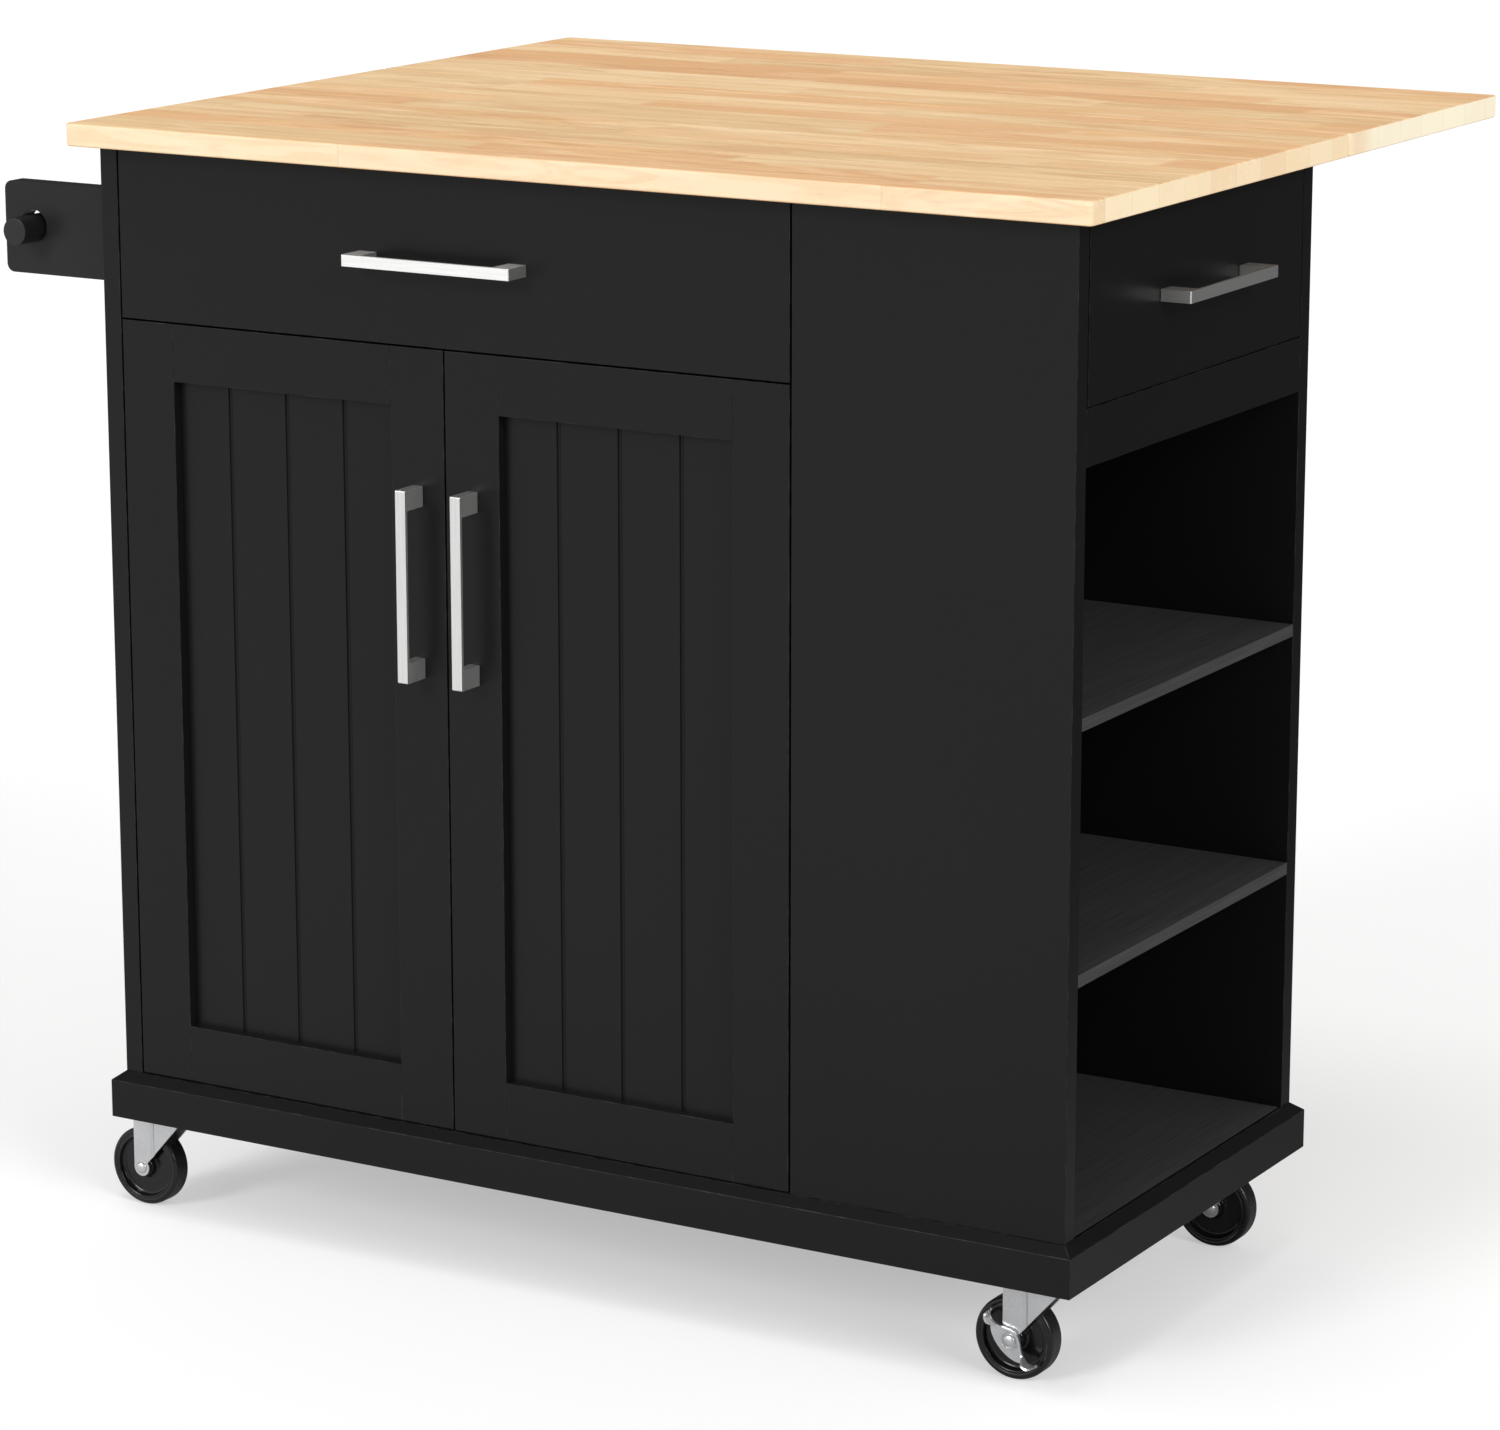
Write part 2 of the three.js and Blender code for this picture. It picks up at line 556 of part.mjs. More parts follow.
function doorLeaf(x0, x1, hingeX) {
  const { bottom: z0, top: z1 } = DOOR_LEVELS;
  const [openX0, openX1] = [x0 + STILE_WIDTH, x1 - STILE_WIDTH];
  const [openZ0, openZ1] = [z0 + DOOR_RAIL_WIDTH, z1 - DOOR_RAIL_WIDTH];
  const face = rectangle(x0, x1, z0, z1);
  face.holes.push(rectangle(openX0, openX1, openZ0, openZ1));
  const frame = alongY(face, 0, BOARD);

  // Section of the panel, seen from above: a flat back and grooves across the front.
  const [front, back] = [PANEL_FRONT_RECESS, BOARD - PANEL_BACK_RECESS];
  const middle = (openX0 + openX1) / 2;
  const section = [[openX0 - PANEL_REBATE, back], [openX0 - PANEL_REBATE, front]];
  for (let i = 0; i < GROOVE_COUNT; i += 1) {
    const x = middle + (i - (GROOVE_COUNT - 1) / 2) * GROOVE_PITCH;
    section.push([x - GROOVE_WIDTH / 2, front], [x - GROOVE_WIDTH / 4, front + GROOVE_DEPTH],
      [x + GROOVE_WIDTH / 4, front + GROOVE_DEPTH], [x + GROOVE_WIDTH / 2, front]);
  }
  section.push([openX1 + PANEL_REBATE, front], [openX1 + PANEL_REBATE, back]);
  const panel = alongZ(polygon(section), openZ0 - PANEL_REBATE, openZ1 + PANEL_REBATE);

  const cupX = hingeX + Math.sign((x0 + x1) / 2 - hingeX) * CUP_INSET;
  const cups = [z0 + DOOR_HINGE_INSET, z1 - DOOR_HINGE_INSET]
    .map((z) => rodY(CUP_RADIUS, BOARD - CUP_DEPTH, BOARD + OVERRUN, cupX, z, TURNED.wheel));
  return cut(join(frame, panel), ...cups);
}

// Concealed hinge arm: a winged plate on the board and a cranked arm that ends in the cup.
// Its section is drawn as [distance from the board, depth behind the door's face].
function hingeArm(boardX, direction, level) {
  const h = HINGE_ARM;
  const nose = REVEAL + CUP_INSET;
  const section = [[h.sunk, h.back], [h.rise, h.back], [h.rise, h.crankBack],
    [nose + h.noseHalf, h.crankFront], [nose + h.noseHalf, h.noseTip], [nose - h.noseHalf, h.noseTip],
    [nose - h.noseHalf, h.noseRoot], [h.sunk, h.footFront]];
  const arm = alongZ(polygon(section.map(([a, depth]) => [boardX + direction * a, depth])),
    level - h.height / 2, level + h.height / 2);
  const [x0, x1] = [boardX + direction * FIT, boardX + direction * h.plate].sort((a, b) => a - b);
  const wings = alongX(roundedRectangle(h.wingFront, h.wingBack, level - h.wingSpan / 2,
    level + h.wingSpan / 2, h.wingCorner), x0, x1, 2);
  const foot = block(x0, x1, h.footFront + h.wingCorner, h.back - h.wingCorner,
    level - h.wingHeight / 2, level + h.wingHeight / 2);
  return join(arm, wings, foot);
}

function doors() {
  const clear = BAY_LEFT - BOARD;
  const width = (clear - 3 * REVEAL) / 2;
  const leftEdge = BOARD + REVEAL;
  const rightEdge = BAY_LEFT - REVEAL;
  const levels = {
    lower: DOOR_LEVELS.bottom + DOOR_HINGE_INSET,
    upper: DOOR_LEVELS.top - DOOR_HINGE_INSET,
  };
  const sides = {
    left: { x0: leftEdge, x1: leftEdge + width, hinge: leftEdge, boardX: BOARD, into: 1 },
    right: { x0: rightEdge - width, x1: rightEdge, hinge: rightEdge, boardX: BAY_LEFT, into: -1 },
  };
  Object.entries(sides).forEach(([side, d]) => {
    place(island, `door_${side}`, doorLeaf(d.x0, d.x1, d.hinge), blackPaint);
    const stileCentre = d.into > 0 ? d.x1 - STILE_WIDTH / 2 : d.x0 + STILE_WIDTH / 2;
    handleOn(island, `door_${side}_handle`, { x: stileCentre, y: 0, z: DOOR_HANDLE_LEVEL }, Z, FRONT);
    Object.entries(levels).forEach(([end, level]) => place(island, `door_${side}_hinge_${end}`,
      hingeArm(d.boardX, d.into, level), zinc));
  });
}

// ---- Drawers and their runners --------------------------------------------------------

// An open box: four walls and a floor let in above their lower edge.
function drawerBox(x0, x1, y0, y1) {
  const { wall, floor, floorRaise, bottom, top } = DRAWER_BOX;
  const plan = rectangle(x0, x1, y0, y1);
  plan.holes.push(rectangle(x0 + wall, x1 - wall, y0 + wall, y1 - wall));
  const half = wall / 2;
  const floorBottom = bottom + floorRaise;
  const base = block(x0 + half, x1 - half, y0 + half, y1 - half, floorBottom, floorBottom + floor);
  return join(alongZ(plan, bottom, top), base);
}

// Section of a runner as [distance from the board, height]: a channel open to the drawer.
function runnerSection(toPoint) {
  const { height, depth, wall, lip, level } = RUNNER;
  const [low, high] = [level - height / 2, level + height / 2];
  return polygon([[FIT, low], [depth, low], [depth, low + lip], [depth - wall, low + lip],
    [depth - wall, low + wall], [FIT + wall, low + wall], [FIT + wall, high - wall],
    [depth - wall, high - wall], [depth - wall, high - lip], [depth, high - lip], [depth, high],
    [FIT, high]].map(([d, z]) => toPoint(d, z)));
}

function drawers() {
  const [frontZ0, frontZ1] = [DRAWER_LINE + REVEAL / 2, TOP_UNDERSIDE - REVEAL];
  const boxFront = BOARD + FIT;

  place(island, "front_drawer_face",
    block(BOARD + REVEAL, BAY_LEFT - REVEAL, 0, BOARD, frontZ0, frontZ1), blackPaint);
  place(island, "front_drawer_box", drawerBox(BOARD + RUNNER_ROOM, BAY_LEFT - RUNNER_ROOM,
    boxFront, boxFront + FRONT_DRAWER_DEPTH), paleBoard);
  handleOn(island, "front_drawer_handle",
    { x: (BOARD + BAY_LEFT) / 2, y: 0, z: DRAWER_HANDLE_LEVEL }, X, FRONT);
  const frontRun = [boxFront + RUNNER.frontGap, boxFront + FRONT_DRAWER_DEPTH];
  place(island, "front_drawer_runner_left",
    alongY(runnerSection((d, z) => [BOARD + d, z]), ...frontRun), zinc);
  place(island, "front_drawer_runner_right",
    alongY(runnerSection((d, z) => [BAY_LEFT - d, z]), ...frontRun), zinc);

  const faceX = BODY_WIDTH - BOARD;
  place(island, "end_drawer_face",
    block(faceX, BODY_WIDTH, BOARD + REVEAL, BACK_INSIDE - REVEAL, frontZ0, frontZ1), blackPaint);
  place(island, "end_drawer_box", drawerBox(faceX - FIT - END_DRAWER_DEPTH, faceX - FIT,
    BOARD + RUNNER_ROOM, BACK_INSIDE - RUNNER_ROOM), paleBoard);
  handleOn(island, "end_drawer_handle",
    { x: BODY_WIDTH, y: END_HANDLE_CENTRE, z: DRAWER_HANDLE_LEVEL }, Y, X);
  const endRun = [faceX - END_DRAWER_DEPTH, faceX - FIT - RUNNER.frontGap];
  place(island, "end_drawer_runner_front",
    alongX(runnerSection((d, z) => [BOARD + d, z]), ...endRun), zinc);
  place(island, "end_drawer_runner_rear",
    alongX(runnerSection((d, z) => [BACK_INSIDE - d, z]), ...endRun), zinc);
}

// ---- Towel rack -------------------------------------------------------------------------

function towelRack() {
  const { reach, height, thickness, corner, holeRadius } = TOWEL_PLATE;
  const { radius, chamfer, x, level } = TOWEL_ROD;
  const holeLevel = level + holeRadius - radius - FIT; // the rod lies low in its holes
  const [z0, z1] = [level - height / 2, level + height / 2];
  const plate = new THREE.Shape();
  plate.moveTo(-FIT, z0);
  plate.lineTo(-FIT, z1);
  plate.absarc(-reach + corner, z1 - corner, corner, Math.PI / 2, Math.PI);
  plate.absarc(-reach + corner, z0 + corner, corner, Math.PI, Math.PI * 1.5);
  plate.closePath();
  plate.holes.push(circle(x, holeLevel, holeRadius));
  Object.entries(TOWEL_PLATE_FRONTS).forEach(([name, y]) =>
    place(island, name, alongY(plate, y, y + thickness, TURNED.wheel / 2), blackPaint));

  const rod = revolve([[0, 0], [radius - chamfer, 0], [radius, chamfer],
    [radius, BODY_DEPTH - chamfer], [radius - chamfer, BODY_DEPTH], [0, BODY_DEPTH]], TURNED.wheel)
    .translate(x, 0, level);
  place(island, "towel_rod", rod, blackSteel);
}

// ---- Casters, each made on its swivel axis with the wheel trailing towards -X -----------

function casterPlate() {
  const { size, thickness, corner, hole, holeSpacing } = CASTER_PLATE;
  const half = size / 2;
  const s = holeSpacing / 2;
  const underside = CASTER_TOP - thickness;
  const plate = alongZ(roundedRectangle(-half, half, -half, half, corner), underside, CASTER_TOP, 2);
  const holes = [[-s, -s], [s, -s], [s, s], [-s, s]]
    .map(([x, y]) => rodZ(hole, underside - OVERRUN, CASTER_TOP + OVERRUN, x, y, TURNED.small));
  const inPlate = underside + thickness / 4;
  const race = revolve([[0, RACE.foot + RACE.round], [RACE.well, RACE.foot + RACE.round],
    [RACE.rim, RACE.foot], [RACE.radius, RACE.foot + RACE.round], [RACE.radius, inPlate],
    [0, inPlate]], TURNED.large).rotateX(Math.PI / 2);
  const headTop = FORK.deckTop - FORK.sheet - FIT;
  const headBottom = headTop - KING_PIN.headHeight;
  const pin = join(rodZ(KING_PIN.radius, headBottom, inPlate, 0, 0),
    rodZ(KING_PIN.headRadius, headBottom, headTop, 0, 0));
  return join(cut(plate, ...holes), race, pin);
}

// Side of the fork: round under the axle, slanted up and forward to the deck.
function forkLeg() {
  const { deckTop, eye, legFront, legKnee } = FORK;
  const tangent = Math.PI / 5;
  const leg = new THREE.Shape();
  leg.moveTo(legKnee.x, legKnee.z);
  leg.lineTo(legFront, deckTop);
  leg.lineTo(-CASTER_TRAIL - eye, deckTop);
  leg.absarc(-CASTER_TRAIL, WHEEL.radius, eye, Math.PI, Math.PI * 2 + tangent);
  leg.closePath();
  return leg;
}

// Fork: a deck and a domed crown over two legs that slant back to the axle.
function casterFork(braked) {
  const { sheet, inside, deckTop, deckFront, deckCorner, eye, domeRadius, domeRound, domeTop } = FORK;
  const outside = inside + sheet;
  const axleZ = WHEEL.radius;
  const legs = [-outside, inside].map((y) => alongY(forkLeg(), y, y + sheet, 8));
  const deck = alongZ(roundedRectangle(-CASTER_TRAIL - eye, deckFront, -outside, outside, deckCorner),
    deckTop - sheet, deckTop, 3);
  const domeFoot = deckTop - OVERRUN;
  const dome = revolve([[0, domeFoot], [domeRadius, domeFoot], [domeRadius, domeTop - domeRound],
    [domeRadius - domeRound, domeTop], [0, domeTop]], TURNED.large).rotateX(Math.PI / 2);
  const kingBore = rodZ(KING_PIN.bore, deckTop - 2 * sheet, domeTop + OVERRUN, 0, 0);
  const headLine = -outside - (braked ? BRAKE.sheet + 2 * FIT : 0);
  const axle = [rodY(AXLE.radius, headLine - OVERRUN, outside + OVERRUN, -CASTER_TRAIL, axleZ),
    rodY(AXLE.headRadius, headLine - AXLE.headHeight, headLine, -CASTER_TRAIL, axleZ, TURNED.pin),
    rodY(AXLE.headRadius, outside, outside + AXLE.headHeight, -CASTER_TRAIL, axleZ, 6)];
  return join(cut(join(...legs, deck, dome), kingBore), ...axle);
}

// Wheel: a dished disc with a rounded tread, a thin web and a hub. It stands on the
// middle of one of its flats, so its corners lie a little outside the true radius.
function casterWheel() {
  const { radius, width, bore, hub, rim, web, draft, shoulder } = WHEEL;
  const half = width / 2;
  const side = [[bore, -half], [hub, -half], [hub + draft, -web], [rim - draft, -web], [rim, -half]];
  for (let turn = 0; turn <= Math.PI / 2; turn += Math.PI / 4) {
    side.push([radius - shoulder * (1 - Math.sin(turn)), -half + shoulder * (1 - Math.cos(turn))]);
  }
  const profile = [...side, ...side.map(([r, h]) => [r, -h]).reverse(), side[0]];
  const halfFlat = Math.PI / TURNED.wheel;
  const cornered = profile.map(([r, h]) => [r / Math.cos(halfFlat), h]);
  return revolve(cornered, TURNED.wheel).rotateY(halfFlat).translate(-CASTER_TRAIL, 0, radius);
}

// Brake lever: a rocker plate on the axle, widest at its pivot, with a foot tab bent out at each end.
function brakeLever() {
  const { sheet, halfLength, halfWidth, waist, tab, pivotHole, tilt } = BRAKE;
  const y1 = -(FORK.inside + FORK.sheet + FIT);
  const y0 = y1 - sheet;
  const quarter = [];
  for (let share = 1 / 3; share <= 1; share += 1 / 3) {
    quarter.push([share * halfLength,
      halfWidth + (waist - halfWidth) * Math.cos(share * Math.PI / 2)]);
  }
  const upper = [...quarter.map(([x, z]) => [-x, z]).reverse(), [0, waist], ...quarter];
  const outline = polygon([...upper, ...upper.map(([x, z]) => [x, -z]).reverse()]);
  const tabs = [-halfLength, halfLength - sheet]
    .map((x) => block(x, x + sheet, y0 - tab, y1, -halfWidth, halfWidth));
  return cut(join(alongY(outline, y0, y1), ...tabs), rodY(pivotHole, y0 - OVERRUN, y1 + OVERRUN, 0, 0))
    .rotateY(THREE.MathUtils.degToRad(tilt)).translate(-CASTER_TRAIL, 0, WHEEL.radius);
}

function casters() {
  const [left, right] = [CASTER_INSET, BODY_WIDTH - CASTER_INSET];
  const [front, rear] = [CASTER_INSET, BODY_DEPTH - CASTER_INSET];
  const corners = {
    front_left: { x: left, y: front, braked: false },
    front_right: { x: right, y: front, braked: true },
    rear_left: { x: left, y: rear, braked: true },
    rear_right: { x: right, y: rear, braked: false },
  };
  Object.entries(corners).forEach(([corner, { x, y, braked }]) => {
    const here = group(island, x, y, 0);
    place(here, `caster_${corner}_plate`, casterPlate(), zinc);
    place(here, `caster_${corner}_fork`, casterFork(braked), zinc);
    place(here, `caster_${corner}_wheel`, casterWheel(), blackPlastic);
    if (braked) {
      place(here, `caster_${corner}_brake`, brakeLever(), zinc);
    }
  });
}

// ---- Assembly -----------------------------------------------------------------------------

plinth();
carcass();
worktop();
Object.entries(BUTT_HINGE_POSITIONS).forEach(([side, x]) => buttHinge(side, x));
Object.entries(SUPPORT_POSITIONS).forEach(([side, x]) => leafSupport(side, x));
doors();
drawers();
towelRack();
casters();

export default island;
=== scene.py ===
# %% [markdown]
# # A drop leaf kitchen island, dressed
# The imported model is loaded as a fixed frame. Every piece made here lies where the frame says,
# in metres, with its object at the origin and its place in its mesh. Each one rides on a body
# of the frame, so doors, drawers, leaf and wheels carry their details with them when they move.

# %% Load the frame
import json
import math
from types import SimpleNamespace

import bmesh
import bpy
from mathutils import Matrix, Vector


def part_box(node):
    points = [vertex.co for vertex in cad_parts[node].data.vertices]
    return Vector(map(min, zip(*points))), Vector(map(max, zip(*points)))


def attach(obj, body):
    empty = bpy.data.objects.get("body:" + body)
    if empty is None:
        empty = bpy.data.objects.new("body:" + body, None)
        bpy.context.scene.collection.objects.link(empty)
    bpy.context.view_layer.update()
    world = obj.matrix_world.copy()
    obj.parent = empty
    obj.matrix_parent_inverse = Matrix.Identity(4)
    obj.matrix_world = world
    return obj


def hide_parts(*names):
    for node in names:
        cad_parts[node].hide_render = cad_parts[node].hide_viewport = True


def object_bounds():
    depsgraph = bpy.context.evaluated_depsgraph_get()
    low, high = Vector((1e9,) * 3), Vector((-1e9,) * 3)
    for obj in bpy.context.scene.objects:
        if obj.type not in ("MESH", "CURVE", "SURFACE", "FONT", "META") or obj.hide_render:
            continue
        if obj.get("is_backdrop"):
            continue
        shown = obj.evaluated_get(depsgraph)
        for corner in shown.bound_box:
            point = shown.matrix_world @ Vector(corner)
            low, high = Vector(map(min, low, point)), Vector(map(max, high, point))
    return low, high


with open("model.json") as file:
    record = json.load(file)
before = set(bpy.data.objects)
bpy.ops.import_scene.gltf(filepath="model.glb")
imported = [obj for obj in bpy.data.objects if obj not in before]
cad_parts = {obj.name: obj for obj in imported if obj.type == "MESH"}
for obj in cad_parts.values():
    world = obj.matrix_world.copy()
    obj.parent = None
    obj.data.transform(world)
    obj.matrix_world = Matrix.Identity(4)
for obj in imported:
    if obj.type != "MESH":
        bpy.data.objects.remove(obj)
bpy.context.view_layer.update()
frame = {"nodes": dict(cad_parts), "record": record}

# %% [markdown]
# ## Values shared by many pieces
# The frame keeps the sizes. What it does not say, such as how far an edge is rounded or how
# wide a door stile is, is named here once, in metres.

# %% Names of bodies and slots, read from the record
MM = 0.001
body_of = {node: body for body, nodes in frame["record"]["behaviour"]["bodies"].items()
           for node in nodes}
slot_of = {row["node"]: row["material_slot"] for row in frame["record"]["subparts"]}
X, Y, Z = Vector((1, 0, 0)), Vector((0, 1, 0)), Vector((0, 0, 1))


def sizes(**values):
    """Named sizes, given in millimetres and kept in metres."""
    return SimpleNamespace(**{name: value * MM for name, value in values.items()})


def in_mm(points):
    """Points given in millimetres, in metres."""
    return [(a * MM, b * MM) for a, b in points]


print("slots:", sorted(set(slot_of.values())))

# %% [markdown]
# ## Writing node trees
# A node tree is written like a calculation: each method adds one node and gives back the output
# that the next line needs. A group names its inputs. A material starts from its Principled
# shader and the Object coordinates, which stay with a piece when it moves. Only what varies over
# a surface is linked to the shader; the rest is set on its own sockets.


# %% A tree that is being written
class Net:
    """A node tree that is being written."""

    def __init__(self, tree):
        self.tree = tree

    def put(self, value, socket):
        if isinstance(value, bpy.types.NodeSocket):
            self.tree.links.new(value, socket)
        else:
            socket.default_value = value

    def add(self, kind, inputs=None, **settings):
        """A node of that kind, with its settings and with its inputs set or linked."""
        node = self.tree.nodes.new(kind)
        for key, value in settings.items():
            setattr(node, key, value)
        for key, value in (inputs or {}).items():
            self.put(value, node.inputs[key])
        return node

    def get(self, kind, inputs=None, **settings):
        """The first output of a new node."""
        return self.add(kind, inputs, **settings).outputs[0]

    def calc(self, operation, *values):
        return self.get("ShaderNodeMath", dict(enumerate(values)), operation=operation)

    def times(self, a, b):
        return self.calc("MULTIPLY", a, b)

    def vector(self, operation, a, b):
        return self.get("ShaderNodeVectorMath", {0: a, 1: b}, operation=operation)

    def scaled(self, vector, scale):
        return self.get("ShaderNodeVectorMath", {0: vector, "Scale": scale}, operation="SCALE")

    def split(self, vector):
        return self.add("ShaderNodeSeparateXYZ", {0: vector}).outputs

    def join(self, *numbers):
        return self.get("ShaderNodeCombineXYZ", dict(enumerate(numbers)))

    def grey(self, value):
        return self.get("ShaderNodeCombineColor", {0: value, 1: value, 2: value})

    def noise(self, place, scale, detail, **more):
        return self.get("ShaderNodeTexNoise",
                        {"Vector": place, "Scale": scale, "Detail": detail} | more)

    def remap(self, value, low, high, to_low=0.0, to_high=1.0, kind="LINEAR"):
        """value taken from low..high to to_low..to_high, clamped."""
        return self.get("ShaderNodeMapRange", {
            "Value": value, "From Min": low, "From Max": high, "To Min": to_low,
            "To Max": to_high}, interpolation_type=kind)

    def ease(self, value, low, high, to_low=0.0, to_high=1.0):
        """The same with a soft start and end."""
        return self.remap(value, low, high, to_low, to_high, "SMOOTHSTEP")

    def mix(self, share, a, b):
        """A number between a and b."""
        return self.get("ShaderNodeMix", {0: share, 2: a, 3: b})

    def blend(self, share, a, b, how="MIX"):
        """A colour between a and b. Colours are sockets or red, green and blue."""
        a, b = [(*value, 1) if isinstance(value, tuple) else value for value in (a, b)]
        return self.add("ShaderNodeMix", {0: share, 6: a, 7: b}, data_type="RGBA",
                        blend_type=how).outputs[2]


print("node helpers ready")

# %% Groups
FLOAT, VECTOR, COLOUR = "NodeSocketFloat", "NodeSocketVector", "NodeSocketColor"
MATERIAL, GEOMETRY = "NodeSocketMaterial", "NodeSocketGeometry"


class Group(Net):
    """A new node group. group["Name"] is one of its inputs, and give() ends it."""

    def __init__(self, name, inputs, outputs, kind="ShaderNodeTree"):
        super().__init__(bpy.data.node_groups.new(name, kind))
        for in_out, sockets in (("INPUT", inputs), ("OUTPUT", outputs)):
            for label, socket_type, *default in sockets:
                made = self.tree.interface.new_socket(label, in_out=in_out,
                                                      socket_type=socket_type)
                if default:
                    made.default_value = default[0]
        self.given = self.tree.nodes.new("NodeGroupInput")
        self.made = self.tree.nodes.new("NodeGroupOutput")

    def __getitem__(self, name):
        return self.given.outputs[name]

    def give(self, *values):
        """Links the outputs in their order."""
        for k, value in enumerate(values):
            self.tree.links.new(value, self.made.inputs[k])
        return self.tree


print("group helper ready")


# %% Materials
class Material(Net):
    """A new material. plain are the shader's values that are the same all over it."""

    def __init__(self, name, **plain):
        self.material = bpy.data.materials.new(name)
        self.material.use_nodes = True
        super().__init__(self.material.node_tree)
        self.shader = self.tree.nodes["Principled BSDF"].inputs
        self.shade(**plain)
        self.place = self.add("ShaderNodeTexCoord").outputs["Object"]

    def shade(self, **values):
        """Sets or links the shader's inputs."""
        for key, value in values.items():
            self.put(value, self.shader[key.replace("_", " ")])

    def use(self, group, **inputs):
        """The first output of a shader group at the Object coordinates, or at its Vector."""
        return self.get("ShaderNodeGroup", {"Vector": self.place} | inputs, node_tree=group)

    def marked(self, name):
        """1 on the faces that the mesh marks with this attribute."""
        return self.add("ShaderNodeAttribute", attribute_name=name).outputs["Fac"]

    def surface(self, colour, roughness, height, depth):
        """Connects the shader. height runs from 0 to 1 and stands for depth, in metres."""
        relief = self.get("ShaderNodeBump", {"Height": height, "Distance": depth,
                                             "Strength": 1.0})
        self.shade(Base_Color=colour, Roughness=roughness, Normal=relief)
        return self.material


print("material helper ready")

# %% [markdown]
# ## Shader groups
# Three effects come back in several finishes, so each is a group with named inputs: fibres or
# brush marks that run along one axis, a soft mottling, and a colour on the arrises that is partly
# wear, where paint or plating thins, and partly a painted highlight. The arris mask comes from
# the mesh: faces made by rounding an edge carry the attribute `arris`, so the effect sits exactly
# on the edge at any distance.


# %% Long marks, thin arrises and mottling
def long_marks_group():
    """Noise drawn out along an axis: 'Along' and 'Across' are marks per metre."""
    net = Group("long_marks", [("Vector", VECTOR), ("Direction", VECTOR, (1, 0, 0)),
                ("Along", FLOAT), ("Across", FLOAT), ("Detail", FLOAT, 3.0)], [("Marks", FLOAT)])
    along = net.vector("MULTIPLY", net["Vector"], net["Direction"])
    across = net.vector("SUBTRACT", net["Vector"], along)
    place = net.vector("ADD", net.scaled(along, net["Along"]), net.scaled(across, net["Across"]))
    return net.give(net.noise(place, 1.0, net["Detail"], Roughness=0.6))


def arris_wear_and_highlight_group():
    """How much of the finish is gone on a rounded edge, broken up by noise. The colour put
    there is partly wear and, where it is lighter than the face, a painted highlight.
    """
    net = Group("thin_arris", [("Vector", VECTOR), ("Amount", FLOAT), ("Scale", FLOAT)],
                [("Mask", FLOAT)])
    arris = net.add("ShaderNodeAttribute", attribute_name="arris").outputs["Fac"]
    noise = net.noise(net["Vector"], net["Scale"], 4.0, Roughness=0.65)
    worn_and_highlit = net.times(arris, net.ease(noise, 0.42, 0.68))
    return net.give(net.times(worn_and_highlit, net["Amount"]))


def mottle_group():
    """A slow and a fast noise together, from 0 to 1, for uneven colour and gloss."""
    net = Group("mottle", [("Vector", VECTOR), ("Slow", FLOAT), ("Fast", FLOAT)],
                [("Value", FLOAT)])
    slow = net.noise(net["Vector"], net["Slow"], 2.0)
    fast = net.noise(net["Vector"], net["Fast"], 4.0)
    return net.give(net.calc("MULTIPLY_ADD", slow, 0.6, net.times(fast, 0.4)))


long_marks, thin_arris, mottle = long_marks_group(), arris_wear_and_highlight_group(), mottle_group()
print("groups:", long_marks.name, thin_arris.name, mottle.name)

# %% [markdown]
# ## Painted and printed boards
# The boards are sprayed with a satin black lacquer. Close up it has a faint orange peel, its
# gloss wanders a little, and on the arrises it is thinner and painted lighter, partly as wear and
# partly as a painted highlight. A roughness and a bump from noise at the real scale give that; a
# plain black would look like a hole in the picture. The shelves and the drawers' boards are
# wrapped in foil with a printed grain. The black shelf foil is painted much lighter than the
# lacquer: painted light that stands for the light falling on the shelves in the open bay.


# %% Lacquer and foils
def coated(net, shade, tones, bare_and_highlight, wear_and_highlight, *rest):
    """Between two tones, with another colour on the arrises that is partly wear and partly a
    painted highlight. The fourth argument is its amount and scale.
    """
    worn_and_highlit = net.use(thin_arris, Amount=wear_and_highlight[0], Scale=wear_and_highlight[1])
    return net.surface(net.blend(worn_and_highlit, net.blend(shade, *tones), bare_and_highlight), *rest)


def streaked(net, tones, bare_and_highlight, wear_and_highlight, roughness, **marks):
    """A coat whose colour, gloss and relief of 0.03 mm follow marks along an axis."""
    grain = net.use(long_marks, **marks)
    return coated(net, net.remap(grain, 0.3, 0.7), tones, bare_and_highlight, wear_and_highlight,
                  net.remap(grain, 0.3, 0.7, *roughness), grain, 0.03 * MM)


def black_lacquer(name, dark, light):
    net = Material(name, Specular_IOR_Level=0.17)
    cloud = net.use(mottle, Slow=5.0, Fast=140.0)
    peel = net.noise(net.place, 650.0, 2.0)
    # The grey on the arrises is partly wear and partly a painted highlight.
    return coated(net, cloud, ((dark,) * 3, (light,) * 3), (0.055, 0.053, 0.05), (0.5, 70.0),
                  net.remap(cloud, 0.2, 0.8, 0.27, 0.34), peel, 0.02 * MM)


lacquer = black_lacquer("black_lacquer", 0.0066, 0.0084)
# A lighter copy of the same black lacquer, used on the towel rack's brackets.
rack_lacquer = black_lacquer("black_lacquer_on_solid_wood", 0.0165, 0.0205)
